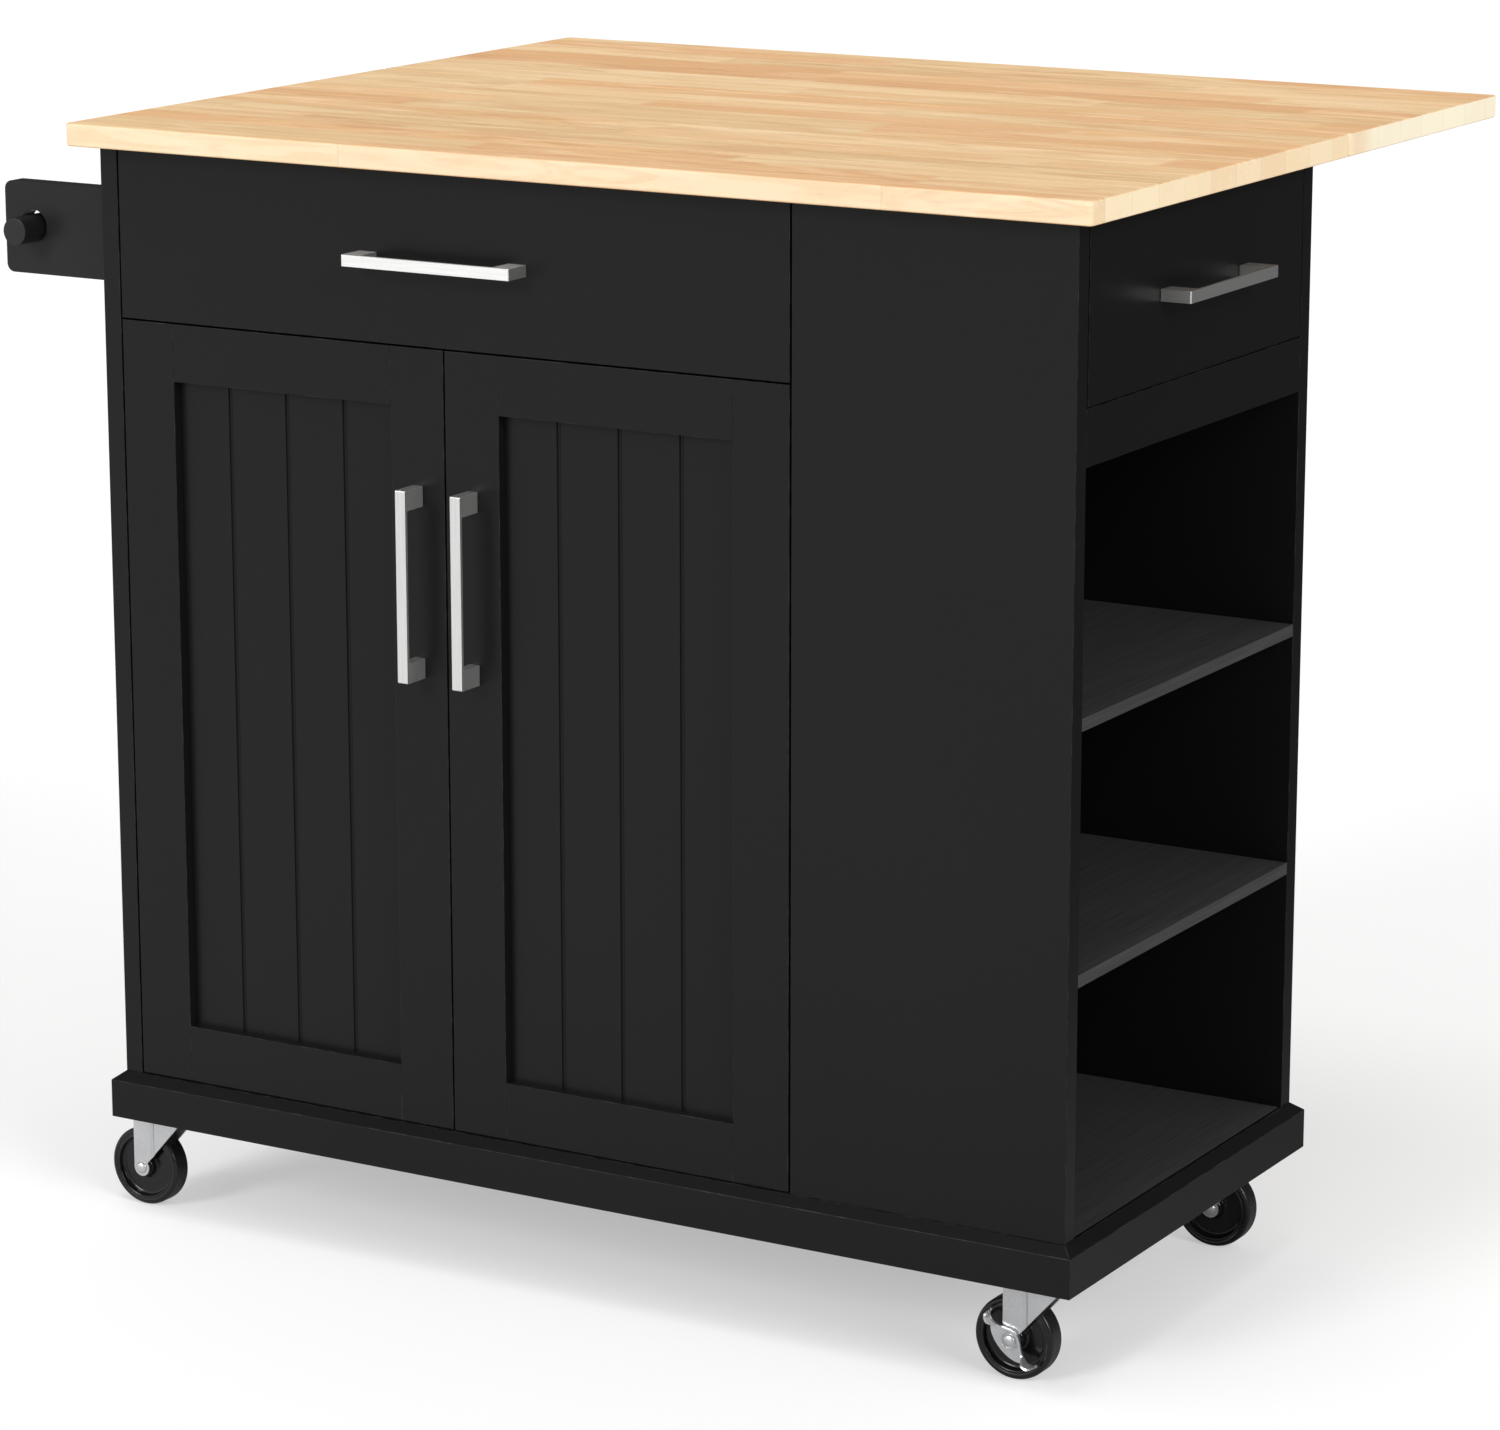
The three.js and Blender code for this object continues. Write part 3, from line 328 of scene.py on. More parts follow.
# Shelf foil, painted several times lighter than the lacquer: painted light for the light that
# falls on the shelves in the open bay.
laminate = streaked(
    Material("black_laminate", Specular_IOR_Level=0.12),
    ((0.047, 0.047, 0.0475), (0.066, 0.066, 0.0667)), (0.06, 0.058, 0.055), (0.6, 90.0),
    (0.5, 0.4), Direction=(0, 1, 0), Along=9.0, Across=420.0)
pale_board = streaked(
    Material("drawer_board", Specular_IOR_Level=0.3),
    ((0.62, 0.59, 0.53), (0.72, 0.69, 0.63)), (0.5, 0.42, 0.32), (0.5, 90.0),
    (0.55, 0.42), Along=8.0, Across=500.0)
print("materials:", lacquer.name, rack_lacquer.name, laminate.name, pale_board.name)

# %% [markdown]
# ## Butcher block
# The worktop is glued up from staves of light hardwood, each made of shorter lengths that are
# finger jointed end to end. A solid texture is the honest way: one group finds the stave and
# the length that a point lies in, and the rings, fibres and pores are then drawn in three
# dimensions, so the same wood shows as long grain on top and as end grain on the ends.


# %% Which stave a point lies in
FINGER_PITCH = 2.2 * MM


def staves_group():
    """Random numbers for each length of each stave, and a mask on the glue lines."""
    net = Group("staves", [("Vector", VECTOR), ("Width", FLOAT, 0.043), ("Length", FLOAT, 0.4),
                ("Finger", FLOAT, 0.009)],
                [("Random", COLOUR), ("Tone", FLOAT), ("Joint", FLOAT)])
    x, y, _ = net.split(net["Vector"])
    across = net.calc("DIVIDE", y, net["Width"])
    row = net.calc("FLOOR", across)
    row_random = net.add("ShaderNodeTexWhiteNoise", {"W": row}, noise_dimensions="1D").outputs
    # Fingers: the end of a length zigzags across the stave, two pitches from tip to tip.
    zigzag = net.times(net.calc("PINGPONG", y, FINGER_PITCH),
                       net.calc("DIVIDE", net["Finger"], FINGER_PITCH))
    start = net.times(row_random["Value"], 7.3)
    own_length = net.times(net["Length"], net.remap(row_random["Color"], 0.0, 1.0, 0.75, 1.35))
    along = net.calc("DIVIDE", net.calc("ADD", net.calc("ADD", x, zigzag), start), own_length)
    length_random = net.add("ShaderNodeTexWhiteNoise", {
        "Vector": net.join(row, net.calc("FLOOR", along))}, noise_dimensions="3D").outputs
    edge_y = net.times(net.calc("PINGPONG", across, 0.5), net["Width"])
    edge_x = net.times(net.calc("PINGPONG", along, 0.5), own_length)
    joint = net.calc("MAXIMUM", net.remap(edge_y, 0.0, 0.5 * MM, 1.0, 0.0),
                     net.remap(edge_x, 0.0, 0.9 * MM, 0.8, 0.0))
    return net.give(length_random["Color"], length_random["Value"], joint)


def rings_group():
    """Growth rings round a pith line that lies beside each stave, at its own random place."""
    net = Group("rings", [("Vector", VECTOR), ("Random", COLOUR), ("Spacing", FLOAT, 0.006)],
                [("Ring", FLOAT)])
    moved = net.vector("ADD", net["Vector"],
                       net.vector("MULTIPLY", net["Random"], (3.0, 0.16, 0.12)))
    warp = net.noise(net.vector("MULTIPLY", moved, (2.2, 16.0, 16.0)), 1.0, 3.0)
    _, y, z = net.split(moved)
    radius = net.add("ShaderNodeVectorMath", {0: net.join(0.0, y, z)},
                     operation="LENGTH").outputs["Value"]
    bent = net.calc("MULTIPLY_ADD", warp, 0.03, radius)
    turn = net.calc("FRACT", net.calc("DIVIDE", bent, net["Spacing"]))
    return net.give(net.times(net.ease(turn, 0.0, 0.82), net.remap(turn, 0.82, 1.0, 1.0, 0.0)))


staves, rings = staves_group(), rings_group()
print("groups:", staves.name, rings.name)

# %% [markdown]
# The colour is built up in layers, from the tone of each length to the finest pores. The sanded
# edges are paler than the face, and the end grain keeps more of each length's own tone.

# %% Butcher block material
TONES = ((0.0, (0.78, 0.465, 0.24, 1)), (0.3, (0.85, 0.545, 0.29, 1)),
         (0.65, (0.79, 0.56, 0.31, 1)), (1.0, (0.89, 0.635, 0.37, 1)))
STREAK_BROWN, STREAK_PALE = (0.70, 0.40, 0.19), (0.93, 0.75, 0.50)
CLOUD_BROWN, CLOUD_PALE = (0.70, 0.40, 0.205), (0.92, 0.715, 0.46)
RING_BROWN, FLECK_BROWN, PORE_BROWN = (0.60, 0.33, 0.15), (0.46, 0.25, 0.115), (0.42, 0.22, 0.10)
GLUE_BROWN, SANDED = (0.40, 0.22, 0.10), (0.97, 0.82, 0.59)
SANDED_END, SANDED_LEAF_END = (1.0, 0.83, 0.57), (1.0, 0.92, 0.71)
LEAF_FROM_Y, LEAF_FULL_Y = 0.05, 0.12


def figure(net, vector, stretch, wander):
    """Noise drawn out along the stave, whose streaks bend and swirl by 'wander'."""
    stretched = net.vector("MULTIPLY", vector, stretch)
    return net.noise(stretched, 1.0, 3.5, Roughness=0.55, Distortion=wander)


def butcher_block():
    net = Material("butcher_block", Specular_IOR_Level=0.06)
    stave = net.add("ShaderNodeGroup", {"Vector": net.place}, node_tree=staves)
    random, tone, joint = stave.outputs
    # Each length of a stave is cut from another place of the wood.
    own = net.vector("ADD", net.place, net.vector("MULTIPLY", random, (5.0, 5.0, 5.0)))
    ring = net.use(rings, Random=random)
    fibres, streaks, pores, flecks = [
        net.use(long_marks, Vector=own, Along=along, Across=across, Detail=detail)
        for along, across, detail in ((7.0, 420.0, 5.0), (1.6, 46.0, 4.0), (140.0, 1500.0, 1.0),
                                      (26.0, 330.0, 2.0))]
    # The figure: broad drawn-out clouds and finer wisps that wander, strong in some lengths.
    clouds = figure(net, own, (3.6, 24.0, 24.0), 2.0)
    wisps = figure(net, own, (9.0, 72.0, 72.0), 1.7)
    own_share, own_figure, _ = net.add("ShaderNodeSeparateColor", {0: random}).outputs
    figured = net.remap(own_figure, 0.1, 0.9, 0.25, 1.0)

    ramp = net.add("ShaderNodeValToRGB", {0: tone})
    for _ in TONES[2:]:
        ramp.color_ramp.elements.new(0.5)
    for element, (position, colour) in zip(ramp.color_ramp.elements, TONES):
        element.position, element.color = position, colour
    dark_clouds = net.times(net.ease(clouds, 0.49, 0.64), figured)
    dark_wisps = net.times(net.ease(wisps, 0.54, 0.66), figured)
    dark_flecks = net.times(net.ease(flecks, 0.63, 0.72, 0.0, 0.5),
                            net.calc("MULTIPLY_ADD", dark_wisps, 0.7, 0.3))
    colour = ramp.outputs[0]
    for share, tint in ((net.ease(streaks, 0.5, 0.72, 0.0, 0.2), STREAK_BROWN),
                        (net.ease(streaks, 0.46, 0.3, 0.0, 0.2), STREAK_PALE),
                        (net.times(dark_clouds, 0.6), CLOUD_BROWN),
                        (net.ease(clouds, 0.47, 0.35, 0.0, 0.45), CLOUD_PALE),
                        (net.times(dark_wisps, 0.5), RING_BROWN),
                        (net.times(ring, 0.15), RING_BROWN),
                        (dark_flecks, FLECK_BROWN)):
        colour = net.blend(share, colour, tint)
    fine = net.grey(net.remap(fibres, 0.25, 0.75, 0.955, 1.11))
    colour = net.blend(1.0, colour, fine, "MULTIPLY")
    dark_pores = net.ease(pores, 0.62, 0.72, 0.0, 0.35)
    colour = net.blend(dark_pores, colour, PORE_BROWN)

    normal_x, _, normal_z = net.split(net.add("ShaderNodeTexCoord").outputs["Normal"])
    on_end = net.ease(net.calc("ABSOLUTE", normal_x), 0.3, 0.7)
    on_edge = net.ease(net.calc("ABSOLUTE", normal_z), 0.75, 0.25)
    on_leaf = net.remap(net.split(net.place)[1], LEAF_FROM_Y, LEAF_FULL_Y)
    end_share = net.calc("MAXIMUM", net.remap(own_share, 0.0, 1.0, 0.62, 1.0),
                         net.times(on_leaf, 0.93))
    share = net.mix(on_end, net.ease(wisps, 0.42, 0.62, 0.72, 0.52), end_share)
    sanded = net.blend(on_end, SANDED, net.blend(on_leaf, SANDED_END, SANDED_LEAF_END))
    colour = net.blend(net.times(on_edge, share), colour, sanded)
    colour = net.blend(net.times(joint, 0.22), colour, GLUE_BROWN)
    height = net.calc("SUBTRACT", net.times(fibres, 0.5), net.times(dark_pores, 1.5))
    return net.surface(colour, net.remap(fibres, 0.3, 0.7, 0.5, 0.64), height, 0.04 * MM)


block_wood = butcher_block()
print("material:", block_wood.name)

# %% [markdown]
# ## Metals and plastics
# The handles are brushed along their length, so each handle direction has its own nickel: the
# brush marks are the same group as the wood's fibres, turned to another axis. The nickel of the
# upright door bars and of the end handle is also painted a little darker than the drawer's, as
# painted shade on the same metal. The casters and hinges are bright zinc plate with a faint
# bluish spangle. The rod and the leaf supports have a black powder coat, the wheels are glossy
# moulded plastic.


# %% Nickel, zinc, powder coat and plastic
def brushed_nickel(name, along_bar, along_leg, tone):
    """Brushed along the bar, and on the outer faces of the legs along the legs. The gloss is
    stretched across the brush marks: a quarter turn from the tangent, which runs along them.
    tone scales the colour down, as painted shade, for the bars that are to look darker."""
    net = Material(name, Metallic=0.88, Anisotropic=0.7, Anisotropic_Rotation=0.25)
    direction = net.add("ShaderNodeMix", {0: net.marked("leg_face"), 4: along_bar,
                        5: along_leg}, data_type="VECTOR").outputs[1]
    net.shade(Tangent=direction)
    tones = [(part * tone, part * tone, 0.985 * part * tone) for part in (0.78, 0.93)]
    # The brighter nickel on the arrises is partly wear and partly a painted highlight.
    return streaked(net, tones, (0.96, 0.96, 0.95), (0.7, 120.0), (0.30, 0.42),
                    Direction=direction, Along=22.0, Across=2600.0, Detail=4.0)


def bright_zinc():
    net = Material("bright_zinc", Metallic=0.9)
    cloud = net.use(mottle, Slow=40.0, Fast=600.0)
    cells = net.add("ShaderNodeTexVoronoi", {"Vector": net.place, "Scale": 520.0})
    spangle = net.get("ShaderNodeSeparateColor", {0: cells.outputs["Color"]})
    shade = net.calc("MULTIPLY_ADD", spangle, 0.25, net.times(cloud, 0.75))
    # The brighter zinc on the arrises is partly wear and partly a painted highlight.
    return coated(net, shade, ((0.60, 0.607, 0.62), (0.72, 0.725, 0.735)), (0.85, 0.85, 0.85),
                  (0.6, 200.0), net.remap(cloud, 0.3, 0.7, 0.24, 0.4), cloud, 0.004 * MM)


def powder_coat():
    net = Material("powder_coat", Specular_IOR_Level=0.35)
    cloud = net.use(mottle, Slow=12.0, Fast=400.0)
    grit = net.noise(net.place, 1500.0, 2.0)
    # The grey on the arrises is partly wear and partly a painted highlight.
    return coated(net, cloud, ((0.008, 0.008, 0.0085), (0.014, 0.014, 0.0145)),
                  (0.09, 0.09, 0.09), (0.6, 150.0), net.remap(cloud, 0.3, 0.7, 0.28, 0.4),
                  grit, 0.03 * MM)


def wheel_plastic():
    """Glossy mouldings, dulled by fine scuffs where they touch the floor."""
    net = Material("wheel_plastic", Specular_IOR_Level=0.4)
    cloud = net.use(mottle, Slow=30.0, Fast=500.0)
    scuff = net.noise(net.place, 900.0, 5.0, Distortion=1.5)
    dulled = net.times(net.marked("tread"), net.remap(scuff, 0.45, 0.7, 0.3, 1.0))
    colour = net.blend(dulled, (0.006, 0.006, 0.0065), (0.02, 0.02, 0.0205))
    gloss = net.remap(cloud, 0.3, 0.7, 0.14, 0.2)
    return net.surface(colour, net.calc("MULTIPLY_ADD", dulled, 0.3, gloss), cloud, 0.03 * MM)


# The end handle's tone of 0.9 and the door bars' 0.87 are painted shade on the same metal.
nickel = {axis: brushed_nickel(f"brushed_nickel_{axis}", tuple(bar), tuple(leg), tone)
          for axis, bar, leg, tone in (("x", X, Y, 1.0), ("y", Y, X, 0.9), ("z", Z, Y, 0.87))}
zinc, coat, plastic = bright_zinc(), powder_coat(), wheel_plastic()
finish_of = {"black_paint": lacquer, "shelf_laminate": laminate, "butcher_block": block_wood,
             "zinc": zinc, "black_steel": coat, "drawer_box": pale_board}
print("materials:", [m.name for m in bpy.data.materials])

# %% [markdown]
# ## From a solid to a finished piece
# The frame's meshes are loose triangles with knife edges. Real boards and pressings have a
# small arris, and it is the arris that catches the light. So each solid is copied, its doubles
# are merged, flat faces are joined again, and its outer edges are rounded by a width that fits
# the material. A Weighted Normal modifier keeps the flat faces flat in the shading.


# %% Copy a solid and ease its edges
SAME_PLACE = 0.002 * MM
FLAT_WITHIN, ARRIS_ABOVE = math.radians(0.4), math.radians(28)


def shape_of(node):
    """A merged copy of a CAD node's mesh, with its flat faces in one piece."""
    bm = bmesh.new()
    bm.from_mesh(frame["nodes"][node].data)
    bmesh.ops.remove_doubles(bm, verts=bm.verts, dist=SAME_PLACE)
    bmesh.ops.dissolve_limit(bm, angle_limit=FLAT_WITHIN, verts=bm.verts, edges=bm.edges)
    return bm


def ease(bm, width, segments=2, pick=lambda edge: True):
    """Rounds the outer edges and marks the new faces as arris. pick chooses among the edges."""
    layer = bm.faces.layers.float.get("arris") or bm.faces.layers.float.new("arris")
    edges = [e for e in bm.edges if len(e.link_faces) == 2 and e.is_convex
             and e.calc_face_angle() > ARRIS_ABOVE and pick(e)]
    made = bmesh.ops.bevel(bm, geom=edges, offset=width, segments=segments, profile=0.5,
                           affect="EDGES", clamp_overlap=True)
    for face in made["faces"]:
        face[layer] = 1.0
    return bm


print("edges sharper than", round(math.degrees(ARRIS_ABOVE)), "degrees are eased")


# %% Make a piece and say what it stands for
def placed_object(name, mesh):
    """An object at the origin, in the scene."""
    made = bpy.data.objects.new(name, mesh)
    bpy.context.scene.collection.objects.link(made)
    return made


def mesh_from(bm, name):
    mesh = bpy.data.meshes.new(name)
    bm.to_mesh(mesh)
    bm.free()
    return mesh


def smooth(mesh, below):
    """Smooth shading, except at edges sharper than the angle."""
    mesh.shade_smooth()
    mesh.set_sharp_from_angle(angle=math.radians(below))


def piece(bm, name, material, smooth_below=40.0):
    """A piece at the origin from a bmesh."""
    mesh = mesh_from(bm, name)
    smooth(mesh, smooth_below)
    mesh.materials.append(material)
    made = placed_object(name, mesh)
    made.modifiers.new("keep_flats_flat", "WEIGHTED_NORMAL").keep_sharp = True
    return made


def hang(made, body, slot, *nodes):
    """The piece rides on a body and stands for those nodes, which it hides. slot is not used."""
    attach(made, body)
    if nodes:
        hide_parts(*nodes)
    return made


def stand_in(bm, node, material, smooth_below=40.0):
    """The finished piece that takes the place of a node."""
    made = piece(bm, f"{node}_finished", material, smooth_below)
    return hang(made, body_of[node], slot_of[node], node)


def dress(node, width):
    """A node's own shape with eased edges and its finish, in place of the node."""
    return stand_in(ease(shape_of(node), width), node, finish_of[slot_of[node]])


print("finishes:", len(finish_of))


# %% Boxes, turned shapes and plates
def brick(x0, x1, y0, y1, z0, z1):
    """A closed box as a bmesh."""
    bm = bmesh.new()
    size = Vector((x1 - x0, y1 - y0, z1 - z0))
    middle = Vector((x0 + x1, y0 + y1, z0 + z1)) / 2
    bmesh.ops.create_cube(bm, size=1, matrix=Matrix.Translation(middle) @ Matrix.Diagonal(
        (*size, 1)))
    return bm


def merge(*parts):
    """One bmesh from several closed ones. Each keeps its own shell."""
    whole = bmesh.new()
    for bm in parts:
        mesh = mesh_from(bm, "part")
        whole.from_mesh(mesh)
        bpy.data.meshes.remove(mesh)
    return whole


def along_y(x, y, z, turn=-1):
    """Lays a turned piece down at a place, its axis along Y, or along -Y for a turn of 1."""
    return Matrix.Translation((x, y, z)) @ Matrix.Rotation(turn * math.pi / 2, 4, "X")


def settled(bm, matrix):
    """With its normals outward and at its place."""
    bmesh.ops.recalc_face_normals(bm, faces=bm.faces)
    bmesh.ops.transform(bm, matrix=matrix, verts=bm.verts)
    return bm


def turned(profile, steps, matrix=Matrix.Identity(4)):
    """A profile of (radius, height) spun round Z, closed at its poles, then placed."""
    bm = bmesh.new()
    turns = [2 * math.pi * k / steps for k in range(steps)]
    rows = [[bm.verts.new((0, 0, height))] if radius == 0 else
            [bm.verts.new((radius * math.cos(t), radius * math.sin(t), height)) for t in turns]
            for radius, height in profile]
    if profile[0] == profile[-1]:
        rows[-1] = rows[0]
    for low, high in zip(rows, rows[1:]):
        for k in range(steps):
            n = (k + 1) % steps
            corners = list(dict.fromkeys([low[k % len(low)], low[n % len(low)],
                                          high[n % len(high)], high[k % len(high)]]))
            if len(corners) > 2:
                bm.faces.new(corners)
    bmesh.ops.delete(bm, geom=[v for v in bm.verts if not v.link_faces], context="VERTS")
    return settled(bm, matrix)


def plate(outline, thickness, matrix):
    """A closed plate from an outline in the XY plane, thick along Z, then placed."""
    bm = bmesh.new()
    face = bm.faces.new([bm.verts.new((x, y, 0)) for x, y in outline])
    made = bmesh.ops.extrude_face_region(bm, geom=[face])
    moved = [g for g in made["geom"] if isinstance(g, bmesh.types.BMVert)]
    bmesh.ops.translate(bm, verts=moved, vec=(0, 0, thickness))
    return settled(bm, matrix)


def carve(made, bm):
    """Cuts a closed bmesh out of a piece for good."""
    mesh = mesh_from(bm, "cutter")
    tool = placed_object("cutter", mesh)
    cut = made.modifiers.new("cut", "BOOLEAN")
    cut.operation, cut.solver, cut.object = "DIFFERENCE", "EXACT", tool
    bpy.context.view_layer.objects.active = made
    bpy.ops.object.modifier_move_to_index(modifier=cut.name, index=0)
    bpy.ops.object.modifier_apply(modifier=cut.name)
    bpy.data.objects.remove(tool)
    bpy.data.meshes.remove(mesh)


print("shape helpers ready")

# %% [markdown]
# ## Boards
# Carcass, plinth and shelves are sixteen millimetre boards with lacquered edges and an arris of
# 0.4 mm. The open reveals between them are real gaps in the frame, so nothing has to be drawn
# on. The worktop and the leaf are sanded by hand, and their arris is finer.

# %% Dress the boards
boards = ["plinth_frame", "bottom_board", "left_side_panel", "fixed_front_panel",
          "rear_end_board", "cupboard_back", "partition", "cupboard_shelf", "drawer_rail",
          "top_stretcher", "end_rail", "end_shelf_upper", "end_shelf_lower",
          "front_drawer_face", "end_drawer_face"]
wooden_boards = ["worktop", "drop_leaf"]
for nodes, arris in ((boards, 0.4 * MM), (wooden_boards, 0.35 * MM)):
    for node in nodes:
        dress(node, arris)
print("boards dressed:", len(boards), "lacquered,", len(wooden_boards), "wooden")

# %% [markdown]
# ## Doors
# A shaker door is five pieces of wood: two stiles that run from top to bottom, two rails
# between them, and a panel let into a groove. Made as five closed bars with their own arrises,
# the door shows the hairline where rail meets stile, as the real one does under its paint.
#
# The panel follows a rule: a flat board with a number of grooves at one pitch. Geometry Nodes
# draw one groove cutter, repeat it along a line and take all of them from the board at once,
# so the number, pitch and width of the grooves are three inputs.

# %% A grooved panel in Geometry Nodes
STILE, RAIL = 48 * MM, 45.5 * MM
PANEL_FRONT, PANEL_BACK, PANEL_REBATE = 8 * MM, 13 * MM, 4 * MM
GROOVES, GROOVE_PITCH, GROOVE_RADIUS = 3, 53.5 * MM, 1.9 * MM


def painted(net, instances):
    """Ends a tree with real meshes in its finish."""
    whole = net.get("GeometryNodeRealizeInstances", {0: instances})
    return net.give(net.get("GeometryNodeSetMaterial", {"Geometry": whole,
                                                        "Material": net["Finish"]}))


def grooved_panel_tree():
    net = Group("grooved_panel", [("Size", VECTOR), ("Centre", VECTOR), ("Pitch", FLOAT),
                ("Grooves", "NodeSocketInt"), ("Radius", FLOAT), ("Finish", MATERIAL)],
                [("Geometry", GEOMETRY)], "GeometryNodeTree")
    _, depth, height = net.split(net["Size"])
    blank = net.get("GeometryNodeMeshCube", {"Size": net["Size"]})
    cutter = net.get("GeometryNodeMeshCylinder", {"Vertices": 16, "Radius": net["Radius"],
                     "Depth": net.times(height, 1.2)})
    first = net.times(net.times(net.calc("SUBTRACT", net["Grooves"], 1.0), -0.5), net["Pitch"])
    line = net.get("GeometryNodeMeshLine", {
        "Count": net["Grooves"], "Start Location": net.join(first, net.times(depth, -0.5)),
        "Offset": net.join(net["Pitch"])}, mode="OFFSET")
    row = net.get("GeometryNodeInstanceOnPoints", {"Points": line, "Instance": cutter})
    cut = net.get("GeometryNodeMeshBoolean", {
        "Mesh 1": blank, "Mesh 2": net.get("GeometryNodeRealizeInstances", {0: row})},
        operation="DIFFERENCE", solver="EXACT")
    return painted(net, net.get("GeometryNodeTransform", {"Geometry": cut,
                                                          "Translation": net["Centre"]}))


def grown(tree, name, base, values, smooth_below=40.0):
    """The plain mesh that a geometry tree makes from a base mesh and named values."""
    holder = placed_object(name, base)
    modifier = holder.modifiers.new(tree.name, "NODES")
    modifier.node_group = tree
    for item in tree.interface.items_tree:
        if item.in_out == "INPUT" and item.name in values:
            modifier[item.identifier] = values[item.name]
    evaluated = holder.evaluated_get(bpy.context.evaluated_depsgraph_get())
    mesh = bpy.data.meshes.new_from_object(evaluated)
    mesh.name = name
    holder.modifiers.remove(modifier)
    holder.data = mesh
    smooth(mesh, smooth_below)
    return holder


panel_tree = grooved_panel_tree()
print("tree", panel_tree.name)

# %% [markdown]
# A concealed hinge has a die cast cup pressed into the door and an arm on the cabinet side.
# The door is bored for the cups, the arms are the frame's own solids with eased edges, and each
# cup is turned: a thin wall with a flange that lies on the back of the door.

# %% Build the doors
CUP = sizes(radius=17.5, depth=12, inset=22.5, from_end=85)
CUP_SECTION = in_mm([(0, -11.9), (17.4, -11.9), (17.4, 0), (20.4, 0), (20.4, 0.6), (19.8, 1),
                     (16.6, 1), (16.6, -11.1), (0, -11.1)])


def cup_seats(side, y):
    """Where a door's two hinge cups lie, at the depth y."""
    low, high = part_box(f"door_{side}")
    x = low.x + CUP.inset if side == "left" else high.x - CUP.inset
    return [along_y(x, y, z) for z in (low.z + CUP.from_end, high.z - CUP.from_end)]


def door(side):
    """Stiles and rails in one piece, bored for the hinge cups, and the panel."""
    node = f"door_{side}"
    low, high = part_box(node)
    back = high.y
    x0, x1, z0, z1 = low.x + STILE, high.x - STILE, low.z + RAIL, high.z - RAIL
    bars = ((low.x, x0, low.z, high.z), (x1, high.x, low.z, high.z), (x0, x1, low.z, z0),
            (x0, x1, z1, high.z))
    members = merge(*[ease(brick(a, b, low.y, back, c, d), 0.45 * MM) for a, b, c, d in bars])
    made = piece(members, f"{node}_frame", lacquer)
    radius, depth = CUP.radius, 2 * CUP.depth
    for seat in cup_seats(side, back - CUP.depth):
        carve(made, turned([(0, 0), (radius, 0), (radius, depth), (0, depth)], 48, seat))
    hang(made, body_of[node], slot_of[node], node)

    size = (x1 - x0 + 2 * PANEL_REBATE, PANEL_BACK - PANEL_FRONT, z1 - z0 + 2 * PANEL_REBATE)
    centre = Vector(((low.x + high.x) / 2, low.y + (PANEL_FRONT + PANEL_BACK) / 2,
                     (low.z + high.z) / 2))
    panel = grown(panel_tree, f"{node}_panel", bpy.data.meshes.new("blank"), {
        "Size": size, "Centre": centre, "Pitch": GROOVE_PITCH, "Grooves": GROOVES,
        "Radius": GROOVE_RADIUS, "Finish": lacquer})
    hang(panel, body_of[node], slot_of[node])
    print(node, "faces:", len(made.data.polygons), "+", len(panel.data.polygons))


def hinges(side):
    """A door's two cups, 0.1 mm smaller than their bores, and the arms on the panel."""
    node = f"door_{side}"
    cups = [turned(CUP_SECTION, 48, seat) for seat in cup_seats(side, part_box(node)[1].y)]
    hang(piece(merge(*cups), f"{node}_hinge_cups", zinc), body_of[node], "zinc")
    for end in ("lower", "upper"):
        dress(f"{node}_hinge_{end}", 0.4 * MM)


for make in (door, hinges):
    for side in ("left", "right"):
        make(side)
print("doors and hinges made")

# %% [markdown]
# ## Handles
# Square bars bent into a U. The frame has their outline with its small fillets, so only the
# long edges are eased. The finish is chosen by the direction of the bar, because it is brushed
# along its length, and the upright and end bars get a darker nickel as painted shade.

# %% Handles
handles = {"front_drawer_handle": ("x", X), "end_drawer_handle": ("y", Y),
           "door_left_handle": ("z", Z), "door_right_handle": ("z", Z)}
for node, (axis, direction) in handles.items():
    bm = ease(shape_of(node), 0.35 * MM, 3)
    leg_face = bm.faces.layers.float.new("leg_face")
    for face in bm.faces:
        face[leg_face] = 1.0 if abs(face.normal.dot(direction)) > 0.9 else 0.0
    stand_in(bm, node, nickel[axis], 50.0)
print("handles:", len(handles))

# %% [markdown]
# ## Drawer boxes and runners
# The boxes are plain boards. Each runner has two members: the outer one is on the cabinet, in
# the frame, and the inner one, which rides on the drawer, is a narrow channel added here.

# %% Drawer boxes and the runners' members
RUNNER = sizes(half=11.5, sheet=1.2, reach=8.2, play=0.1, set_back=4, arris=0.25)


def drawer_member(drawer, runner, side):
    """A shallow channel on the drawer's side, open towards the cabinet's member."""
    low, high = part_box(runner)
    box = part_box(f"{drawer}_box")
    middle, half, sheet = (low.z + high.z) / 2, RUNNER.half, RUNNER.sheet
    along, across = (1, 0) if drawer == "front_drawer" else (0, 1)
    outer = box[0 if side < 0 else 1][across]
    bottom, top = middle - half, middle + half
    shells = []
    for z0, z1, reach in ((bottom, top, sheet), (bottom, bottom + sheet, RUNNER.reach),
                          (top - sheet, top, RUNNER.reach)):
        spans = {along: (low[along] + RUNNER.set_back, high[along] - RUNNER.set_back),
                 across: sorted((outer + side * RUNNER.play, outer + side * reach))}
        shells.append(ease(brick(*spans[0], *spans[1], z0, z1), RUNNER.arris))
    hang(piece(merge(*shells), f"{runner}_inner", zinc), drawer, "zinc")


